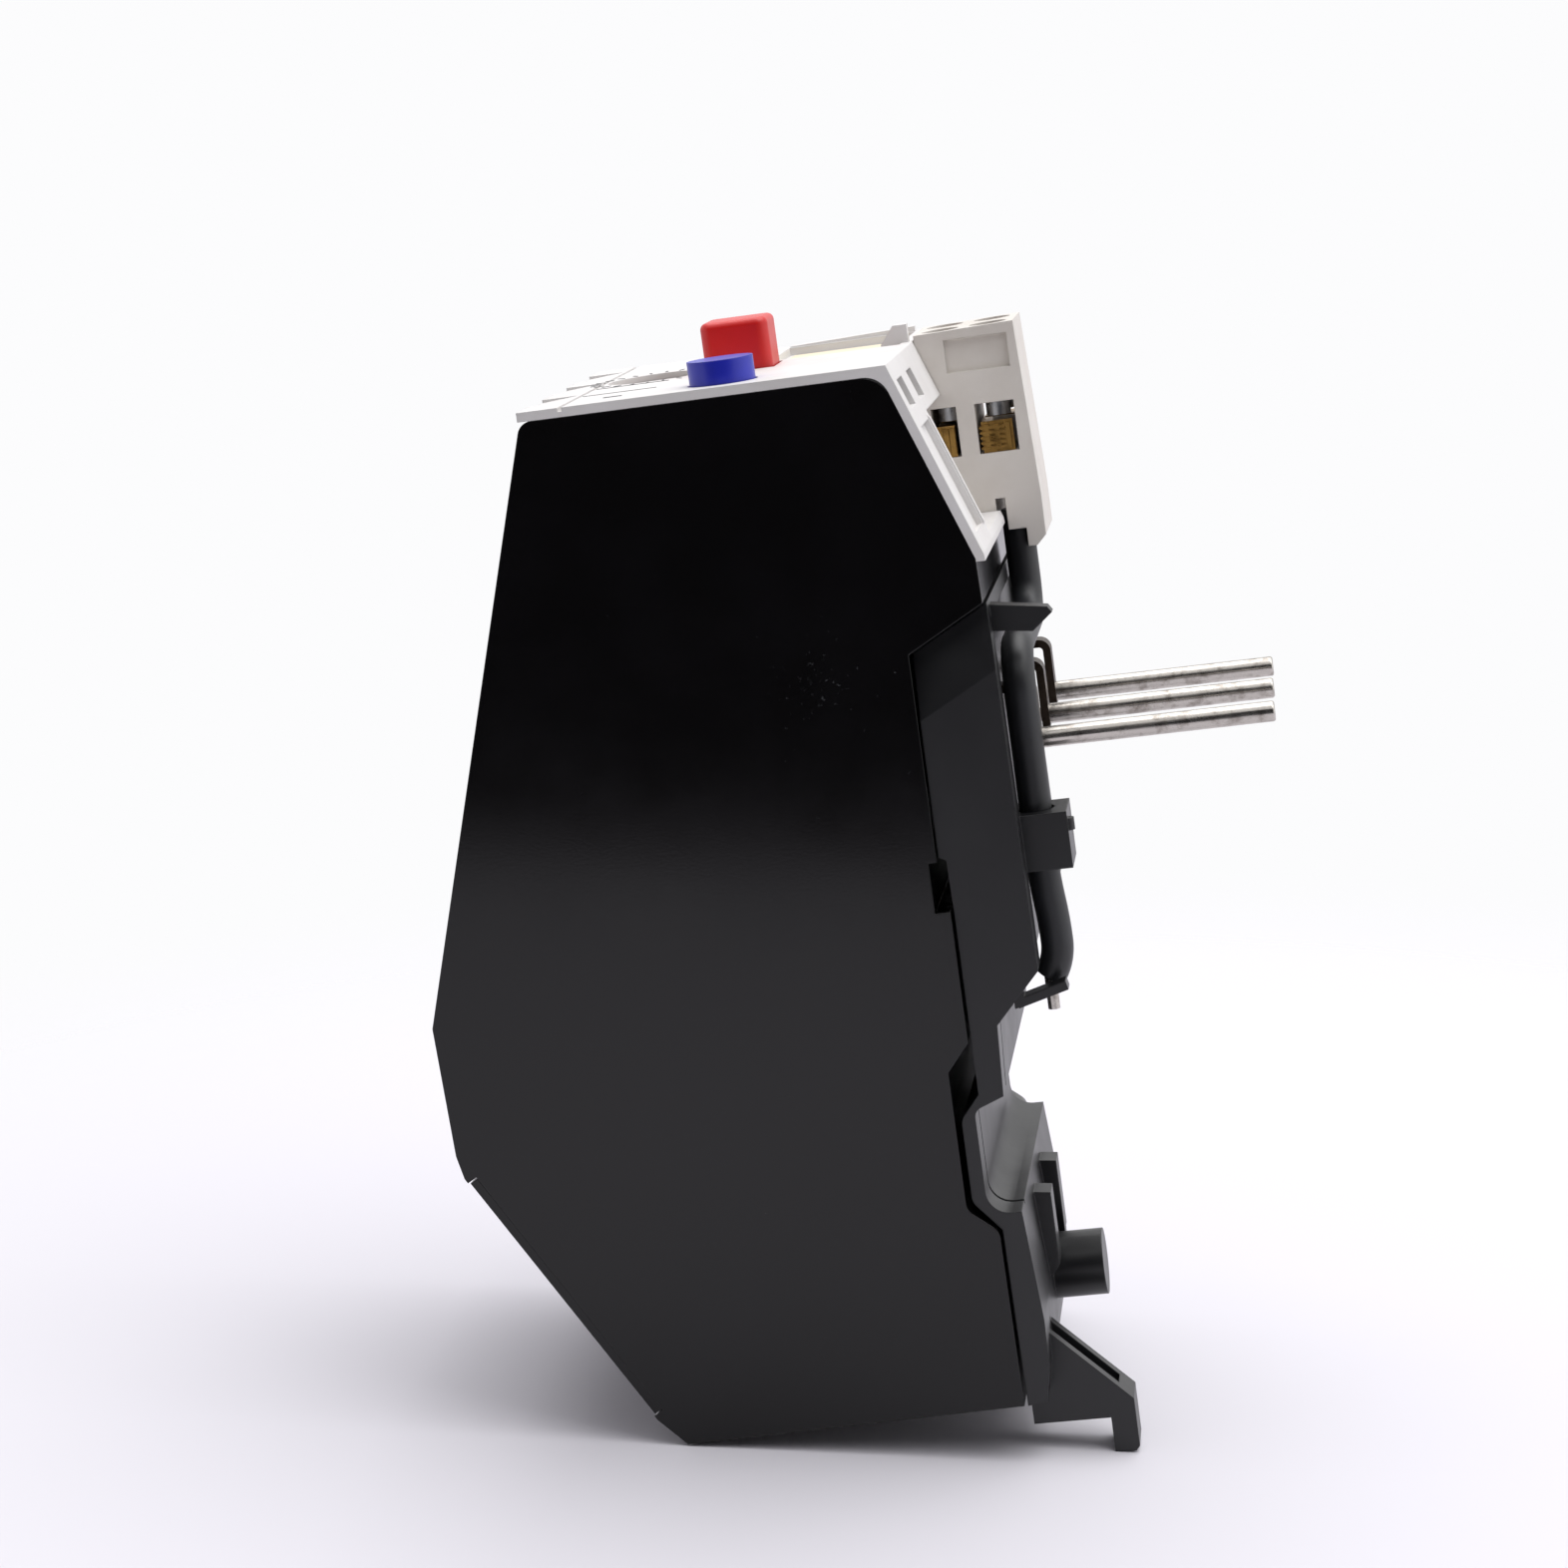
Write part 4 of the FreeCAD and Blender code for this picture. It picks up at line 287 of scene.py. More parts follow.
@dataclass(frozen=True)
class PlatedMetal:
    """Metal with a thin plating, drawn or rolled along one axis.

    Attributes:
        name: common name of the metal and its finish.
        colour: sRGB hex of the bright metal.
        tarnish: sRGB hex of its dull places.
        roughness: mean roughness.
        stretch: scale of the lines' pattern along each axis, where less than 1 draws them out.
        line_mm: spacing of the drawing lines.
        relief: strength of the lines.
        dull_share: share of the surface that is tarnished.
        spot_mm: size of the tarnished spots.
    """

    name: str
    colour: str
    tarnish: str
    roughness: float
    stretch: tuple[float, float, float] = (0.08, 1.0, 1.0)
    line_mm: float = 0.3
    relief: float = 0.08
    dull_share: float = 0.35
    spot_mm: float = 10 / 7

    def make(self) -> bpy.types.Material:
        """Builds the material.

        Returns:
            The material.
        """
        material, tree, shader = new_material(self.name)
        place = add_node(tree, "ShaderNodeTexCoord").outputs["Object"]
        drawn = add_node(tree, "ShaderNodeMapping", {"Vector": place, "Scale": self.stretch})
        lines = add_node(tree, "ShaderNodeTexNoise",
                         {"Vector": drawn.outputs["Vector"], "Scale": 1 / (self.line_mm * MM), "Detail": 3.0})
        spots = add_node(tree, "ShaderNodeTexNoise",
                         {"Vector": place, "Scale": 1 / (self.spot_mm * MM),
                          "Detail": 4.0, "Roughness": 0.65})
        share = add_node(tree, "ShaderNodeMapRange",
                         {"Value": spots.outputs["Fac"], "From Min": 0.62 - 0.3 * self.dull_share,
                          "From Max": 0.75, "To Max": 0.85})
        mix = add_node(tree, "ShaderNodeMix",
                       {"Factor": share.outputs["Result"], "A": linear(self.colour),
                        "B": linear(self.tarnish)}, data_type="RGBA")
        colour = next(socket for socket in mix.outputs if socket.type == "RGBA")
        tree.links.new(colour, shader.inputs["Base Color"])
        shader.inputs["Metallic"].default_value = 1.0
        gloss = add_node(tree, "ShaderNodeMapRange",
                         {"Value": lines.outputs["Fac"], "From Min": 0.3, "From Max": 0.7,
                          "To Min": self.roughness - 0.06, "To Max": self.roughness + 0.1})
        tree.links.new(gloss.outputs["Result"], shader.inputs["Roughness"])
        bump = add_node(tree, "ShaderNodeBump",
                        {"Height": lines.outputs["Fac"], "Strength": self.relief, "Distance": 0.04 * MM})
        tree.links.new(bump.outputs["Normal"], shader.inputs["Normal"])
        return material


@dataclass(frozen=True)
class GlassFibreSleeve:
    """Woven glass-fibre sleeve under a flat winding.

    Attributes:
        name: common name of the material.
        colour: sRGB hex of the fibre.
        shade: sRGB hex between the fibres.
        thread_mm: spacing of the threads.
    """

    name: str
    colour: str
    shade: str
    thread_mm: float = 0.4

    def make(self) -> bpy.types.Material:
        """Builds the material.

        Returns:
            The material.
        """
        material, tree, shader = new_material(self.name)
        place = add_node(tree, "ShaderNodeTexCoord").outputs["Object"]
        weave = add_node(tree, "ShaderNodeTexBrick",
                         {"Vector": place, "Scale": 1 / (self.thread_mm * MM), "Color1": linear(self.colour),
                          "Color2": linear(self.colour), "Mortar": linear(self.shade), "Mortar Size": 0.1})
        tree.links.new(weave.outputs["Color"], shader.inputs["Base Color"])
        shader.inputs["Roughness"].default_value = 0.8
        bump = add_node(tree, "ShaderNodeBump",
                        {"Height": weave.outputs["Fac"], "Strength": 0.2, "Distance": 0.05 * MM})
        tree.links.new(bump.outputs["Normal"], shader.inputs["Normal"])
        return material


# Glass-filled polyamide from a polished mould: deep black that mirrors its surroundings softly.
HOUSING_POLYAMIDE = ScuffedPlastic(
    "black polyamide, polished mould", "070607", "0b0a0c", 0.13, 0.02, 0.3, 0.03, level=0.34)
# The same polyamide from an eroded mould: a duller black with a greyish bloom.
BASE_POLYAMIDE = MouldedPlastic("black polyamide, eroded mould", "0e0e11", "151618", 0.4, 0.05, 0.3, 0.12)
# Light grey ABS from an eroded mould: matt and even, with faint yellowing.
COVER_ABS = MouldedPlastic("light grey ABS, matt", "e1dfdd", "d6d3d0", 0.5, 0.05, 0.4, 0.08)
# The same ABS in a warmer batch: the block looks a little creamier than the cover.
BLOCK_ABS = MouldedPlastic("grey white ABS, matt", "dfdad3", "d2cbc2", 0.5, 0.05, 0.4, 0.08)
# Darker grey ABS: the dial stands out softly from the cover round it.
DIAL_ABS = MouldedPlastic("grey ABS, matt", "c4c3bf", "b3b1ab", 0.5, 0.05, 0.4, 0.08)
# Dyed ABS from a polished mould: strong blue with a soft shine on the rim.
RESET_ABS = MouldedPlastic("blue ABS, polished", "1a26b8", "16209c", 0.35, 0.04, 0.3, 0.04)
# Dyed ABS from a polished mould: warm red whose top face turns pale under the lamps.
STOP_ABS = MouldedPlastic("red ABS, polished", "d31512", "bd100e", 0.38, 0.04, 0.3, 0.04)
# Pale dyed ABS: a soft yellow patch in the window.
FLAG_ABS = MouldedPlastic("pale yellow ABS", "e6dfb4", "d8cf9c", 0.5, 0.05, 0.4, 0.06)
# PVC insulation, extruded: black, rubbery and slightly dusty.
LEAD_PVC = MouldedPlastic("black PVC insulation", "17181b", "2b2d31", 0.46, 0.07, 0.5, 0.2)
# Unfilled nylon, moulded: milky white and nearly dull.
SLIDE_NYLON = MouldedPlastic("white nylon", "dad6c8", "cfc9b6", 0.5)
# Undyed nylon, moulded: the straw colour of the raw material, dull.
FRAME_NYLON = MouldedPlastic("natural nylon", "c9c2ad", "b9b199", 0.55)
# Drawn copper rod, tinned: pale grey with long lines and brownish spots.
TIN_PLATE = PlatedMetal(
    "tin plated copper, drawn", "bbb6b0", "62574d", 0.24, (0.06, 1.0, 1.0), 0.35, 0.12, 0.45)
# Rolled copper strip in dark brown, with darker spots: it barely shines.
DARK_BROWN_COPPER = PlatedMetal(
    "dark brown copper strip", "4a4038", "241f1c", 0.4, (1.0, 1.0, 1.0), 0.4, 0.05, 0.5)
# Bright zinc on steel: bluish silver with small dull clouds.
ZINC_PLATE = PlatedMetal("zinc plated steel", "b9bcc0", "8b8f94", 0.3, (1.0, 1.0, 0.2), 0.3, 0.06, 0.3)
# Brass strip, stamped: golden, with darker streaks from the tool.
STAMPED_BRASS = PlatedMetal("stamped brass", "a9854a", "5d4422", 0.32, (1.0, 1.0, 0.15), 0.4, 0.1, 0.4)
# Rolled bimetal strip: warm grey with fine lines along the strip.
ROLLED_BIMETAL = PlatedMetal("rolled bimetal", "8e857a", "6b6258", 0.35, (1.0, 1.0, 0.1), 0.3, 0.06, 0.3)
# Drawn spring steel: mid grey wire with a narrow bright line on each turn.
SPRING_WIRE = PlatedMetal("drawn spring wire", "8d8f93", "5c5e62", 0.3, (1.0, 1.0, 1.0), 0.3, 0.04, 0.3)
# Rolled silver alloy: the palest and brightest metal of the relay.
CONTACT_SILVER = PlatedMetal(
    "silver alloy strip", "d2d0cb", "9c9890", 0.28, (1.0, 1.0, 0.2), 0.3, 0.04, 0.25)
# Woven glass fibre: dull cream with darker gaps between the threads.
HEATER_GLASS = GlassFibreSleeve("glass-fibre sleeve", "cfc6b2", "8d8571")
# Pad-printed ink: a thin dull film of dark grey.
PRINTED_INK = MouldedPlastic("dark grey printing ink", "3a3c40", "55585c", 0.6, 0.03, 0.2, 0.03, edge_mm=0.01)
# Polyester film: cream and slightly satin.
LABEL_FILM = MouldedPlastic("cream polyester label", "efe6cb", "e6d9b8", 0.4, 0.03, 0.3, 0.02, edge_mm=0.01)

FINISHES = {
    Slot.HOUSING: HOUSING_POLYAMIDE, Slot.BASE: BASE_POLYAMIDE, Slot.COVER: COVER_ABS, Slot.BLOCK: BLOCK_ABS,
    Slot.DIAL: DIAL_ABS, Slot.RESET: RESET_ABS, Slot.STOP: STOP_ABS, Slot.FLAG: FLAG_ABS, Slot.LEAD: LEAD_PVC,
    Slot.TIN: TIN_PLATE, Slot.COPPER: DARK_BROWN_COPPER, Slot.STEEL: ZINC_PLATE, Slot.BRASS: STAMPED_BRASS,
    Slot.BIMETAL: ROLLED_BIMETAL, Slot.SLEEVE: HEATER_GLASS, Slot.SLIDE: SLIDE_NYLON, Slot.FRAME: FRAME_NYLON,
    Slot.SPRING: SPRING_WIRE, Slot.SILVER: CONTACT_SILVER,
}


class Workshop:
    """Holds the frame's nodes and one material for each slot."""

    def __init__(self, frame: dict[str, Any]) -> None:
        """Keeps the frame and reads each node's slot from the record.

        Args:
            frame: what the frame's loader returned.
        """
        self.nodes = frame["nodes"]
        self.slots = {entry["node"]: entry["material_slot"] for entry in frame["record"]["subparts"]}
        self.materials: dict[Any, bpy.types.Material] = {}

    def material(self, slot: Slot) -> bpy.types.Material:
        """Returns the material of a slot, and makes it at its first use."""
        return self.finish(FINISHES[slot])

    def finish(self, recipe: Any) -> bpy.types.Material:
        """Returns the material of a finish, and makes it at its first use.

        Args:
            recipe: finish that can make its material.

        Returns:
            The material.
        """
        if recipe not in self.materials:
            self.materials[recipe] = recipe.make()
        return self.materials[recipe]

    def dress(self, names: Iterable[str]) -> None:
        """Gives each named CAD node the material of its slot.

        Args:
            names: names of the nodes.
        """
        for name in names:
            mesh = self.nodes[name].data
            mesh.materials.clear()
            mesh.materials.append(self.material(Slot(self.slots[name])))
            LOG.info("dressed %s", name)

    def add(self, piece: bpy.types.Object, body: Body, slot: Slot) -> bpy.types.Object:
        """Hands a finished piece to a body of the frame.

        Args:
            piece: object at the origin, its place in its mesh.
            body: rigid body that carries it.
            slot: not used.

        Returns:
            The same piece.
        """
        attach(piece, body.value)
        LOG.info("added %s", piece.name)
        return piece


def place_of(node: str) -> tuple[Vector, Vector]:
    """Returns the lowest and the highest corner of a CAD node."""
    low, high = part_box(node)
    return Vector(low), Vector(high)


def linked(name: str, data: Any) -> bpy.types.Object:
    """Makes an object of some data and links it to the scene.

    Args:
        name: name of the object.
        data: mesh, lamp or camera data.

    Returns:
        The object.
    """
    thing = bpy.data.objects.new(name, data)
    bpy.context.scene.collection.objects.link(thing)
    return thing


def new_piece(name: str, mesh: bpy.types.Mesh, material: bpy.types.Material) -> bpy.types.Object:
    """Links a mesh to the scene as one object with one material.

    Args:
        name: name of the piece.
        mesh: its mesh, in its place.
        material: its only material.

    Returns:
        The piece.
    """
    mesh.materials.clear()
    mesh.materials.append(material)
    return linked(name, mesh)


def slab(name: str, low: Sequence[float], high: Sequence[float], round_off: float) -> bpy.types.Mesh:
    """Makes a flat plate with softened edges.

    Args:
        name: name of the mesh.
        low: lowest corner, in metres.
        high: highest corner, in metres.
        round_off: width of the softened edge, in metres.

    Returns:
        The mesh.
    """
    work = bmesh.new()
    bmesh.ops.create_cube(work, size=1.0)
    middle = (Vector(low) + Vector(high)) / 2
    reach = Vector(high) - Vector(low)
    for corner in work.verts:
        corner.co = middle + Vector(part * span for part, span in zip(corner.co, reach))
    bmesh.ops.bevel(work, geom=work.edges, offset=round_off, segments=2, affect="EDGES")
    bmesh.ops.recalc_face_normals(work, faces=work.faces)
    mesh = bpy.data.meshes.new(name)
    work.to_mesh(mesh)
    work.free()
    return mesh


def baked(
    name: str, unit: bpy.types.Mesh, group: bpy.types.NodeTree, values: dict[str, Any]
) -> bpy.types.Mesh:
    """Runs a node group and keeps the result as a plain mesh.

    Args:
        name: name of the mesh.
        unit: mesh that the group starts from.
        group: node group, which is removed afterwards.
        values: value of each named input.

    Returns:
        The finished mesh.
    """
    source = linked(name + "_source", unit)
    modifier = source.modifiers.new(name, "NODES")
    modifier.node_group = group
    for socket in group.interface.items_tree:
        if socket.in_out == "INPUT" and socket.name in values:
            modifier[socket.identifier] = values[socket.name]
    bpy.context.view_layer.update()
    seen = source.evaluated_get(bpy.context.evaluated_depsgraph_get())
    mesh = bpy.data.meshes.new_from_object(seen)
    bpy.data.objects.remove(source)
    bpy.data.node_groups.remove(group)
    mesh.name = name
    return mesh


@dataclass(frozen=True)
class Repeat:
    """Copies of one small mesh on a ring or along a line, made by Geometry Nodes.

    Attributes:
        name: name of the finished piece.
        count: number of copies.
        radius: radius of the ring, or 0 for a line.
        step: offset from one copy to the next on a line.
        start: first place on a line, or the middle of the ring.
    """

    name: str
    count: int
    radius: float
    step: tuple[float, float, float]
    start: tuple[float, float, float]

    def tree(self) -> bpy.types.NodeTree:
        """Builds the node group with its named inputs.

        Returns:
            The node group.
        """
        group = bpy.data.node_groups.new(self.name, "GeometryNodeTree")
        sockets = group.interface
        sockets.new_socket("Geometry", in_out="INPUT", socket_type="NodeSocketGeometry")
        sockets.new_socket("Count", in_out="INPUT", socket_type="NodeSocketInt")
        sockets.new_socket("Radius", in_out="INPUT", socket_type="NodeSocketFloat")
        sockets.new_socket("Step", in_out="INPUT", socket_type="NodeSocketVector")
        sockets.new_socket("Start", in_out="INPUT", socket_type="NodeSocketVector")
        sockets.new_socket("Material", in_out="INPUT", socket_type="NodeSocketMaterial")
        sockets.new_socket("Geometry", in_out="OUTPUT", socket_type="NodeSocketGeometry")
        given = add_node(group, "NodeGroupInput").outputs
        if self.radius > 0:
            ring = add_node(group, "GeometryNodeMeshCircle",
                            {"Vertices": given["Count"], "Radius": given["Radius"]})
            moved = add_node(group, "GeometryNodeSetPosition",
                             {"Geometry": ring.outputs["Mesh"], "Offset": given["Start"]})
            index = add_node(group, "GeometryNodeInputIndex")
            share = add_node(group, "ShaderNodeMath",
                             {0: index.outputs["Index"], 1: given["Count"]}, operation="DIVIDE")
            angle = add_node(group, "ShaderNodeMath",
                             {0: share.outputs["Value"], 1: math.tau}, operation="MULTIPLY")
            turn = add_node(group, "ShaderNodeCombineXYZ", {"Z": angle.outputs["Value"]}).outputs["Vector"]
            spots = moved.outputs["Geometry"]
        else:
            line = add_node(group, "GeometryNodeMeshLine",
                            {"Count": given["Count"], "Start Location": given["Start"],
                             "Offset": given["Step"]})
            turn = add_node(group, "ShaderNodeCombineXYZ").outputs["Vector"]
            spots = line.outputs["Mesh"]
        copies = add_node(group, "GeometryNodeInstanceOnPoints",
                          {"Points": spots, "Instance": given["Geometry"], "Rotation": turn})
        real = add_node(group, "GeometryNodeRealizeInstances", {"Geometry": copies.outputs["Instances"]})
        painted = add_node(group, "GeometryNodeSetMaterial",
                           {"Geometry": real.outputs["Geometry"], "Material": given["Material"]})
        add_node(group, "NodeGroupOutput", {"Geometry": painted.outputs["Geometry"]})
        return group

    def bake(self, unit: bpy.types.Mesh, material: bpy.types.Material) -> bpy.types.Object:
        """Runs the group on the unit mesh and keeps the result as a plain mesh.

        Args:
            unit: mesh of one copy, around the origin.
            material: finish of every copy.

        Returns:
            The finished piece.
        """
        values = {"Count": self.count, "Radius": self.radius, "Step": self.step, "Start": self.start,
                  "Material": material}
        mesh = baked(self.name, unit, self.tree(), values)
        return new_piece(self.name, mesh, material)


def joined(name: str, meshes: Sequence[bpy.types.Mesh], material: bpy.types.Material) -> bpy.types.Object:
    """Joins several meshes into one piece.

    Args:
        name: name of the piece.
        meshes: meshes to join, which are removed.
        material: material of the whole.

    Returns:
        The piece.
    """
    work = bmesh.new()
    for mesh in meshes:
        work.from_mesh(mesh)
        bpy.data.meshes.remove(mesh)
    whole = bpy.data.meshes.new(name)
    work.to_mesh(whole)
    work.free()
    return new_piece(name, whole, material)


@dataclass
class Enclosure:
    """Black housing with its closing plate.

    Attributes:
        nodes: CAD pieces of the enclosure.
    """

    nodes: tuple[str, ...] = ("housing", "rear_plate")

    def dress(self, shop: Workshop) -> None:
        """Paints the enclosure."""
        shop.dress(self.nodes)


@dataclass
class FrontPanel:
    """Grey cover with its printed marks, dial scale and window label.

    Attributes:
        dial_sink_mm: how far the dial lies under the cover's face.
        recess_mm: depth of the window recess.
        scale_radius_mm: radius of the dial scale, to the middle of its ticks.
        tick_mm: length and width of a tick.
        ticks: number of ticks round the dial.
        strokes_mm: start, length, inset and width of each printed stroke, from the cover's corner.
        label_margin_mm: how far the label reaches past the flag, to its left and its right.
        label_run_mm: where the label starts and ends, from the flag's far edge.
        bar_mm: length and width of a bar on the label.
        bar_start_mm: first bar, from the flag's left and far edges.
        bar_step_mm: spacing of the bars.
        bars: number of bars.
    """

    dial_sink_mm: float = 0.6
    recess_mm: float = 0.8
    scale_radius_mm: float = 6.3
    tick_mm: tuple[float, float] = (1.1, 0.22)
    ticks: int = 24
    strokes_mm: tuple[tuple[float, float, float, float], ...] = (
        (7.6, 1.8, 4.9, 0.5), (4.6, 7.4, 17.8, 0.18), (4.6, 7.4, 10.2, 0.12))
    label_margin_mm: tuple[float, float] = (3.6, 2.2)
    label_run_mm: tuple[float, float] = (0.5, 12.6)
    bar_mm: tuple[float, float] = (0.5, 2.6)
    bar_start_mm: tuple[float, float] = (0.6, 3.0)
    bar_step_mm: float = 1.7
    bars: int = 3

    def face(self) -> float:
        """Returns the height of the cover's face."""
        return place_of("current_dial")[1].z + self.dial_sink_mm * MM

    def recess(self) -> float:
        """Returns the height of the window recess's floor."""
        return self.face() - self.recess_mm * MM

    def build_scale(self, shop: Workshop) -> bpy.types.Object:
        """Makes the ring of ticks round the dial.

        Args:
            shop: source of the ink.

        Returns:
            The scale.
        """
        low, high = place_of("current_dial")
        middle = (low + high) / 2
        run, width = (size * MM / 2 for size in self.tick_mm)
        unit = slab("tick", (-run, -width, 0), (run, width, FILM), FILM / 4)
        ring = Repeat("dial_scale", self.ticks, self.scale_radius_mm * MM, (0, 0, 0),
                      (middle.x, middle.y, self.face()))
        return ring.bake(unit, shop.finish(PRINTED_INK))

    def build_strokes(self, shop: Workshop) -> bpy.types.Object:
        """Makes the short printed strokes beside the dial.

        Args:
            shop: source of the ink.

        Returns:
            The strokes, as one piece.
        """
        corner = place_of("front_cover")[0]
        level = self.face()
        meshes = []
        for start, length, inset, width in self.strokes_mm:
            x = corner.x + start * MM
            y = corner.y + inset * MM
            end = (x + length * MM, y + width * MM, level + FILM)
            meshes.append(slab("stroke", (x, y, level), end, FILM / 4))
        return joined("cover_strokes", meshes, shop.finish(PRINTED_INK))

    def build_label(self, shop: Workshop) -> bpy.types.Object:
        """Makes the blank cream label on the floor of the window recess.

        Args:
            shop: source of the label's film.

        Returns:
            The label.
        """
        low, high = place_of("trip_flag")
        left, right = (size * MM for size in self.label_margin_mm)
        start, end = (size * MM for size in self.label_run_mm)
        sheet = slab("label", (low.x - left, high.y + start, self.recess()),
                     (high.x + right, high.y + end, self.recess() + FILM), FILM / 4)
        return new_piece("window_label", sheet, shop.finish(LABEL_FILM))

    def build_bars(self, shop: Workshop) -> bpy.types.Object:
        """Makes the short bars printed on the label.

        Args:
            shop: source of the ink.

        Returns:
            The bars, as one piece.
        """
        low, high = place_of("trip_flag")
        along, across = (size * MM for size in self.bar_start_mm)
        unit = slab("bar", (0, 0, 0), (self.bar_mm[0] * MM, self.bar_mm[1] * MM, FILM), FILM / 4)
        row = Repeat("label_bars", self.bars, 0.0, (self.bar_step_mm * MM, 0, 0),
                     (low.x + along, high.y + across, self.recess() + FILM))
        return row.bake(unit, shop.finish(PRINTED_INK))

    def dress(self, shop: Workshop) -> None:
        """Paints the cover and adds its print.

        Args:
            shop: source of materials.
        """
        shop.dress(("front_cover",))
        for piece in (self.build_scale(shop), self.build_strokes(shop), self.build_bars(shop)):
            shop.add(piece, Body.RELAY, Slot.LEAD)
        shop.add(self.build_label(shop), Body.RELAY, Slot.FLAG)


@dataclass
class TerminalBlock:
    """Grey terminal block with its screws and serrated clamps.

    Attributes:
        tooth_mm: depth, width and spacing of a clamp's teeth.
        tooth_trim_mm: how much shorter a tooth is than the row of clamps.
        tooth_place_mm: place of the first tooth, from the clamps' right, near and lower faces.
        teeth: number of teeth on each clamp.
        screws: number of screws.
    """

    tooth_mm: tuple[float, float, float] = (0.28, 0.34, 0.52)
    tooth_trim_mm: float = 5.0
    tooth_place_mm: tuple[float, float, float] = (-3.4, 0.2, 0.35)
    teeth: int = 5
    screws: int = 4

    def build_teeth(self, shop: Workshop) -> bpy.types.Object:
        """Makes the teeth on the near edge of the clamps.

        Args:
            shop: source of the brass.

        Returns:
            The teeth, as one piece.
        """
        low, high = place_of("aux_clamps")
        depth, width, step = (size * MM for size in self.tooth_mm)
        along, across, up = (size * MM for size in self.tooth_place_mm)
        unit = slab("tooth", (0, -depth, 0), (high.x - low.x - self.tooth_trim_mm * MM, 0, width), width / 4)
        row = Repeat("clamp_teeth", self.teeth, 0.0, (0, 0, step),
                     (high.x + along, low.y + across, low.z + up))
        return row.bake(unit, shop.material(Slot.BRASS))

    def dress(self, shop: Workshop) -> None:
        """Paints the block, its screws and its clamps.

        Args:
            shop: source of materials.
        """
        shop.dress(("aux_block", "aux_clamps"))
        shop.dress(f"aux_screw_{number + 1}" for number in range(self.screws))
        shop.add(self.build_teeth(shop), Body.RELAY, Slot.BRASS)


@dataclass
class PlugSide:
    """Mounting base with its pins and the connecting lead.

    Attributes:
        nodes: CAD pieces that are there once.
        poles: number of poles, each with a pin and its link.
    """

    nodes: tuple[str, ...] = ("mounting_base", "connecting_lead", "lead_tip")
    poles: int = 3

    def dress(self, shop: Workshop) -> None:
        """Paints the base, the pins, their links and the lead.

        Args:
            shop: source of materials.
        """
        shop.dress(self.nodes)
        for pole in range(1, self.poles + 1):
            shop.dress((f"plug_pin_{pole}", f"pole_link_{pole}"))


@dataclass
class PolePath:
    """Screw, clamp, bar, bimetal and heater of one pole.

    Attributes:
        pole: number of the pole.
        kinds: CAD pieces that each pole has.
    """

    pole: int
    kinds: tuple[str, ...] = ("main_screw", "main_clamp", "terminal_bar", "bimetal", "heater")

    def dress(self, shop: Workshop) -> None:
        """Paints the pieces of the pole."""
        shop.dress(f"{kind}_{self.pole}" for kind in self.kinds)


@dataclass(frozen=True)
class CoilSpring:
    """Round-wire compression spring under a button, wound by Geometry Nodes.

    Attributes:
        node: CAD node that it stands for.
        joint: joint that presses it; not used.
        travel_mm: how far the joint presses it; not used.
        wire_mm: diameter of the wire.
        turns: number of turns.
    """

    node: str
    joint: str
    travel_mm: float = 3.0
    wire_mm: float = 0.5
    turns: float = 5.0

    def tree(self) -> bpy.types.NodeTree:
        """Builds the node group that winds the wire.

        Returns:
            The node group.
        """
        group = bpy.data.node_groups.new(self.node, "GeometryNodeTree")
        sockets = group.interface
        for name in ("Turns", "Coil Radius", "Height", "Wire Radius"):
            sockets.new_socket(name, in_out="INPUT", socket_type="NodeSocketFloat")
        sockets.new_socket("Foot", in_out="INPUT", socket_type="NodeSocketVector")
        sockets.new_socket("Material", in_out="INPUT", socket_type="NodeSocketMaterial")
        sockets.new_socket("Geometry", in_out="OUTPUT", socket_type="NodeSocketGeometry")
        given = add_node(group, "NodeGroupInput").outputs
        helix = add_node(group, "GeometryNodeCurveSpiral",
                         {"Resolution": 24, "Rotations": given["Turns"], "Start Radius": given["Coil Radius"],
                          "End Radius": given["Coil Radius"], "Height": given["Height"]})
        ring = add_node(group, "GeometryNodeCurvePrimitiveCircle",
                        {"Resolution": 12, "Radius": given["Wire Radius"]})
        wire = add_node(group, "GeometryNodeCurveToMesh",
                        {"Curve": helix.outputs["Curve"], "Profile Curve": ring.outputs["Curve"],
                         "Fill Caps": True})
        moved = add_node(group, "GeometryNodeTransform",
                         {"Geometry": wire.outputs["Mesh"], "Translation": given["Foot"]})
        real = add_node(group, "GeometryNodeRealizeInstances", {"Geometry": moved.outputs["Geometry"]})
        painted = add_node(group, "GeometryNodeSetMaterial",
                           {"Geometry": real.outputs["Geometry"], "Material": given["Material"]})
        add_node(group, "NodeGroupOutput", {"Geometry": painted.outputs["Geometry"]})
        return group

    def build(self, shop: Workshop) -> None:
        """Winds the spring, which takes the place of its CAD node.

        Args:
            shop: source of the wire's material.
        """
        low, high = place_of(self.node)
        wire = self.wire_mm * MM / 2
        foot = Vector(((low.x + high.x) / 2, (low.y + high.y) / 2, low.z + wire))
        length = high.z - low.z
        steel = shop.material(Slot.SPRING)
        values = {"Turns": self.turns, "Coil Radius": (high.x - low.x) / 2 - wire,
                  "Height": length - 2 * wire, "Wire Radius": wire, "Foot": foot, "Material": steel}
        mesh = baked(self.node + "_coil", bpy.data.meshes.new(self.node), self.tree(), values)
        piece = new_piece(self.node + "_coil", mesh, steel)
        for face in mesh.polygons:
            face.use_smooth = True
        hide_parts(self.node)
        shop.add(piece, Body.RELAY, Slot.SPRING)
        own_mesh(piece)


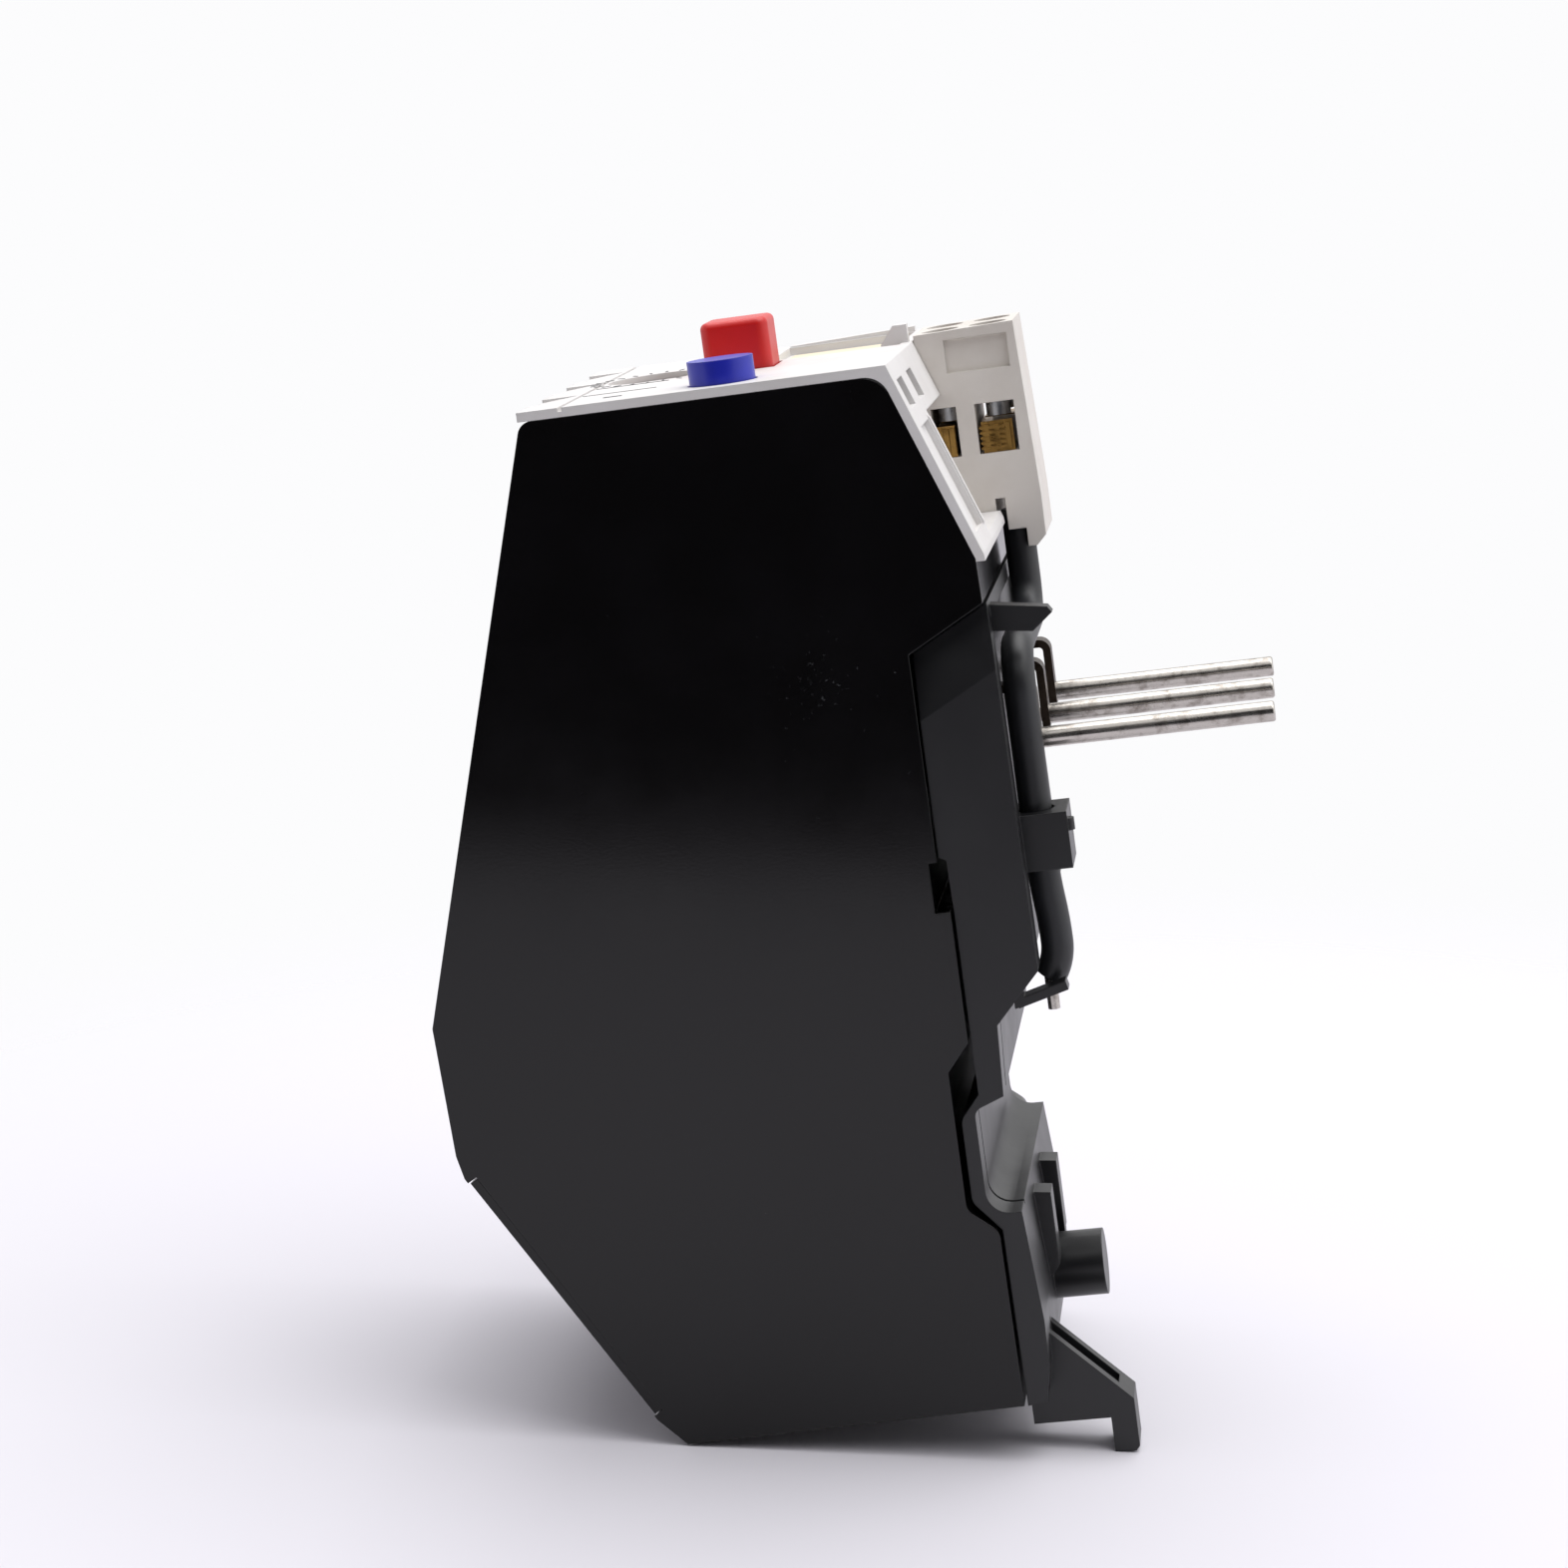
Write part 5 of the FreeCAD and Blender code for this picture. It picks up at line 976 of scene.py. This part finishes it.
@dataclass
class Controls:
    """Buttons with their springs, the dial with its slider, and the flag.

    Attributes:
        nodes: CAD pieces of the controls.
        springs: springs under the buttons.
        pointer_mm: length and width of the dial's pointer.
        pointer_inset_mm: how far the pointer ends inside the dial's edge.
    """

    nodes: tuple[str, ...] = ("reset_button", "stop_button", "current_dial", "setting_slider", "trip_flag")
    springs: tuple[CoilSpring, ...] = (
        CoilSpring("reset_spring", "reset_press"), CoilSpring("stop_spring", "stop_press"))
    pointer_mm: tuple[float, float] = (1.6, 0.4)
    pointer_inset_mm: float = 1.2

    def build_pointer(self, shop: Workshop) -> bpy.types.Object:
        """Makes the printed pointer on the dial.

        Args:
            shop: source of the ink.

        Returns:
            The pointer.
        """
        low, high = place_of("current_dial")
        middle = (low + high) / 2
        length, width = (size * MM for size in self.pointer_mm)
        end = high.y - self.pointer_inset_mm * MM
        mesh = slab("pointer", (middle.x - width / 2, end - length, high.z),
                    (middle.x + width / 2, end, high.z + FILM), FILM / 4)
        return new_piece("dial_pointer", mesh, shop.finish(PRINTED_INK))

    def dress(self, shop: Workshop) -> None:
        """Paints the controls and adds their springs and the pointer.

        Args:
            shop: source of materials.
        """
        shop.dress(self.nodes)
        shop.dress(spring.node for spring in self.springs)
        for spring in self.springs:
            spring.build(shop)
        shop.add(self.build_pointer(shop), Body.DIAL, Slot.LEAD)


@dataclass
class TripGear:
    """Slides, lever and contacts inside the front compartment.

    Attributes:
        nodes: CAD pieces of the gear.
    """

    nodes: tuple[str, ...] = (
        "push_bar", "release_bar", "mechanism_frame", "trip_lever", "compensation_strip",
        "nc_spring", "no_spring", "nc_contact", "no_contact")

    def dress(self, shop: Workshop) -> None:
        """Paints the gear."""
        shop.dress(self.nodes)


@dataclass(frozen=True)
class Lamp:
    """Soft square lamp.

    Attributes:
        name: what the lamp does.
        place: its place in the room, from the floor point.
        size: length of its side.
        power: watts.
    """

    name: str
    place: tuple[float, float, float]
    size: float
    power: float


@dataclass
class Studio:
    """White paper sweep, dark curtain, lamps and camera.

    Attributes:
        floor_point: a point of the floor, in the row frame.
        lean_deg: how far the object leans back on the floor.
        floor_side: reach of the paper to either side.
        floor_front: reach of the paper in front of the object.
        floor_back: reach of the paper behind it.
        fade: distances between which the paper melts into the white surround.
        fade_middle: room point that the distances are measured from.
        curtain: half width, lower edge, upper edge and distance of the curtain.
        room_light: strength of the surround as light.
        lamp_target: room point that the lamps face.
        lamps: the lamps.
        camera_place: place of the camera, in the row frame.
        camera_right: direction of the picture's right side.
        camera_up: direction of the picture's top.
        lens_mm: focal length.
        sensor_mm: width of the camera's sensor.
        clip: nearest and farthest distance that the camera sees.
    """

    floor_point: tuple[float, float, float] = (-0.0435, -0.0225, -0.06595)
    lean_deg: float = 8.0
    floor_side: float = 1.6
    floor_front: float = 0.265
    floor_back: float = 1.6
    fade: tuple[float, float] = (0.09, 0.24)
    fade_middle: tuple[float, float, float] = (0.04, 0.03, 0.0)
    curtain: tuple[float, float, float, float] = (0.9, -0.6, 0.7, 0.8)
    room_light: float = 0.62
    lamp_target: tuple[float, float, float] = (0.05, 0.0225, 0.055)
    lamps: tuple[Lamp, ...] = (
        Lamp("key", (0.35, -0.10, 0.80), 0.7, 2.8),
        Lamp("top", (0.0, 0.25, 0.9), 0.9, 5.4),
        Lamp("side", (0.9, 0.1, 0.3), 0.6, 0.5))
    camera_place: tuple[float, float, float] = (0.027015, -0.354774, 0.062564)
    camera_right: tuple[float, float, float] = (0.982341, 0.126276, -0.138059)
    camera_up: tuple[float, float, float] = (0.111058, 0.200300, 0.973420)
    lens_mm: float = 81.76
    sensor_mm: float = 36.0
    clip: tuple[float, float] = (0.01, 20.0)

    def frame_matrix(self) -> Matrix:
        """Returns the turn from the room's axes to the row frame."""
        angle = math.radians(self.lean_deg)
        along = Vector((math.cos(angle), 0.0, -math.sin(angle)))
        up = Vector((math.sin(angle), 0.0, math.cos(angle)))
        return Matrix((along, Vector((0.0, 1.0, 0.0)), up)).transposed()

    def place(self, point: Sequence[float]) -> Vector:
        """Returns the row-frame place of a point given in the room, from the floor point."""
        return Vector(self.floor_point) + self.frame_matrix() @ Vector(point)

    def build_sheet(
        self, name: str, corners: Sequence[Sequence[float]], material: bpy.types.Material
    ) -> bpy.types.Object:
        """Makes a flat sheet of the room.

        Args:
            name: name of the sheet.
            corners: its four corners in the room, in turn.
            material: its material.

        Returns:
            The sheet.
        """
        mesh = bpy.data.meshes.new(name)
        mesh.from_pydata([self.place(corner) for corner in corners], [], [tuple(range(len(corners)))])
        mesh.materials.append(material)
        return linked(name, mesh)

    def build_floor(self) -> bpy.types.Object:
        """Makes the paper, which melts into the white surround away from the object.

        Returns:
            The paper.
        """
        side, front, back = self.floor_side, -self.floor_front, self.floor_back
        corners = ((-side, front, 0), (side, front, 0), (side, back, 0), (-side, back, 0))
        # Coated paper: a cool white that holds the object's shadow.
        material, tree, shader = new_material("white paper")
        shader.inputs["Base Color"].default_value = linear("e6e4ea")
        shader.inputs["Roughness"].default_value = 0.8
        shader.inputs["Specular IOR Level"].default_value = 0.1
        place = add_node(tree, "ShaderNodeTexCoord").outputs["Object"]
        middle = self.place(self.fade_middle)
        offset = add_node(tree, "ShaderNodeVectorMath", {0: place, 1: middle}, operation="DISTANCE")
        share = add_node(tree, "ShaderNodeMapRange",
                         {"Value": offset.outputs["Value"], "From Min": self.fade[0],
                          "From Max": self.fade[1]}, interpolation_type="SMOOTHSTEP")
        path = add_node(tree, "ShaderNodeLightPath")
        seen = add_node(tree, "ShaderNodeMath",
                        {0: share.outputs["Result"], 1: path.outputs["Is Camera Ray"]},
                        operation="MULTIPLY")
        clear = add_node(tree, "ShaderNodeBsdfTransparent")
        mix = add_node(tree, "ShaderNodeMixShader",
                       {0: seen.outputs["Value"], 1: shader.outputs["BSDF"], 2: clear.outputs["BSDF"]})
        output = next(node for node in tree.nodes if node.type == "OUTPUT_MATERIAL")
        tree.links.new(mix.outputs["Shader"], output.inputs["Surface"])
        return self.build_sheet("floor", corners, material)

    def build_curtain(self) -> bpy.types.Object:
        """Makes the dark curtain behind the camera, which the polished side mirrors.

        Returns:
            The curtain.
        """
        width, low, high, distance = self.curtain
        corners = ((-width, -distance, low), (-width, -distance, high),
                   (width, -distance, high), (width, -distance, low))
        # Dull cloth: dark enough to show as the deep tone on the upper part of the polished side.
        material, _, shader = new_material("black cloth")
        shader.inputs["Base Color"].default_value = linear("2a2a2c")
        shader.inputs["Roughness"].default_value = 0.9
        return self.build_sheet("curtain", corners, material)

    def build_world(self) -> None:
        """Makes a surround that is white to the eye and in mirrors, and softer as light."""
        world = bpy.data.worlds.new("surround")
        world.use_nodes = True
        tree = world.node_tree
        tree.nodes.clear()
        path = add_node(tree, "ShaderNodeLightPath")
        room = add_node(tree, "ShaderNodeBackground",
                        {"Color": linear("f8f6fb"), "Strength": self.room_light})
        white = add_node(tree, "ShaderNodeBackground", {"Color": linear("fcfcfd"), "Strength": 1.0})
        either = add_node(tree, "ShaderNodeMath",
                          {0: path.outputs["Is Camera Ray"], 1: path.outputs["Is Glossy Ray"]},
                          operation="MAXIMUM")
        seen = add_node(tree, "ShaderNodeMath",
                        {0: either.outputs["Value"], 1: path.outputs["Is Transmission Ray"]},
                        operation="MAXIMUM")
        mix = add_node(tree, "ShaderNodeMixShader",
                       {0: seen.outputs["Value"], 1: room.outputs["Background"],
                        2: white.outputs["Background"]})
        add_node(tree, "ShaderNodeOutputWorld", {"Surface": mix.outputs["Shader"]})
        bpy.context.scene.world = world

    def build_lamp(self, lamp: Lamp) -> bpy.types.Object:
        """Makes a lamp that faces the middle of the object.

        Args:
            lamp: which lamp.

        Returns:
            The lamp's object.
        """
        data = bpy.data.lights.new(lamp.name, "AREA")
        data.shape = "SQUARE"
        data.size = lamp.size
        data.energy = lamp.power
        light = linked(lamp.name, data)
        where = self.place(lamp.place)
        light.location = where
        light.rotation_euler = (self.place(self.lamp_target) - where).to_track_quat("-Z", "Y").to_euler()
        return light

    def build_camera(self) -> bpy.types.Object:
        """Makes the camera of the main view.

        Returns:
            The camera's object.
        """
        data = bpy.data.cameras.new("camera")
        data.lens = self.lens_mm
        data.sensor_width = self.sensor_mm
        data.clip_start, data.clip_end = self.clip
        camera = linked("camera", data)
        right = Vector(self.camera_right).normalized()
        back = right.cross(Vector(self.camera_up)).normalized()
        turn = Matrix((right, back.cross(right), back)).transposed()
        camera.matrix_world = Matrix.Translation(self.camera_place) @ turn.to_4x4()
        bpy.context.scene.camera = camera
        return camera

    def build(self) -> None:
        floor = self.build_floor()
        curtain = self.build_curtain()
        self.build_world()
        lights = [self.build_lamp(lamp) for lamp in self.lamps]
        self.build_camera()
        bpy.context.scene.view_settings.view_transform = "Standard"


def main() -> None:
    """Builds the relay's looks and the studio around it."""
    logging.basicConfig(level=logging.INFO, format="%(name)s: %(message)s")
    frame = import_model()
    shop = Workshop(frame)
    plug_side = PlugSide()
    pole_paths = [PolePath(pole) for pole in range(1, plug_side.poles + 1)]
    for part in (Enclosure(), FrontPanel(), TerminalBlock(), plug_side, *pole_paths, Controls(), TripGear()):
        part.dress(shop)
    Studio().build()


if __name__ == "__main__":
    main()
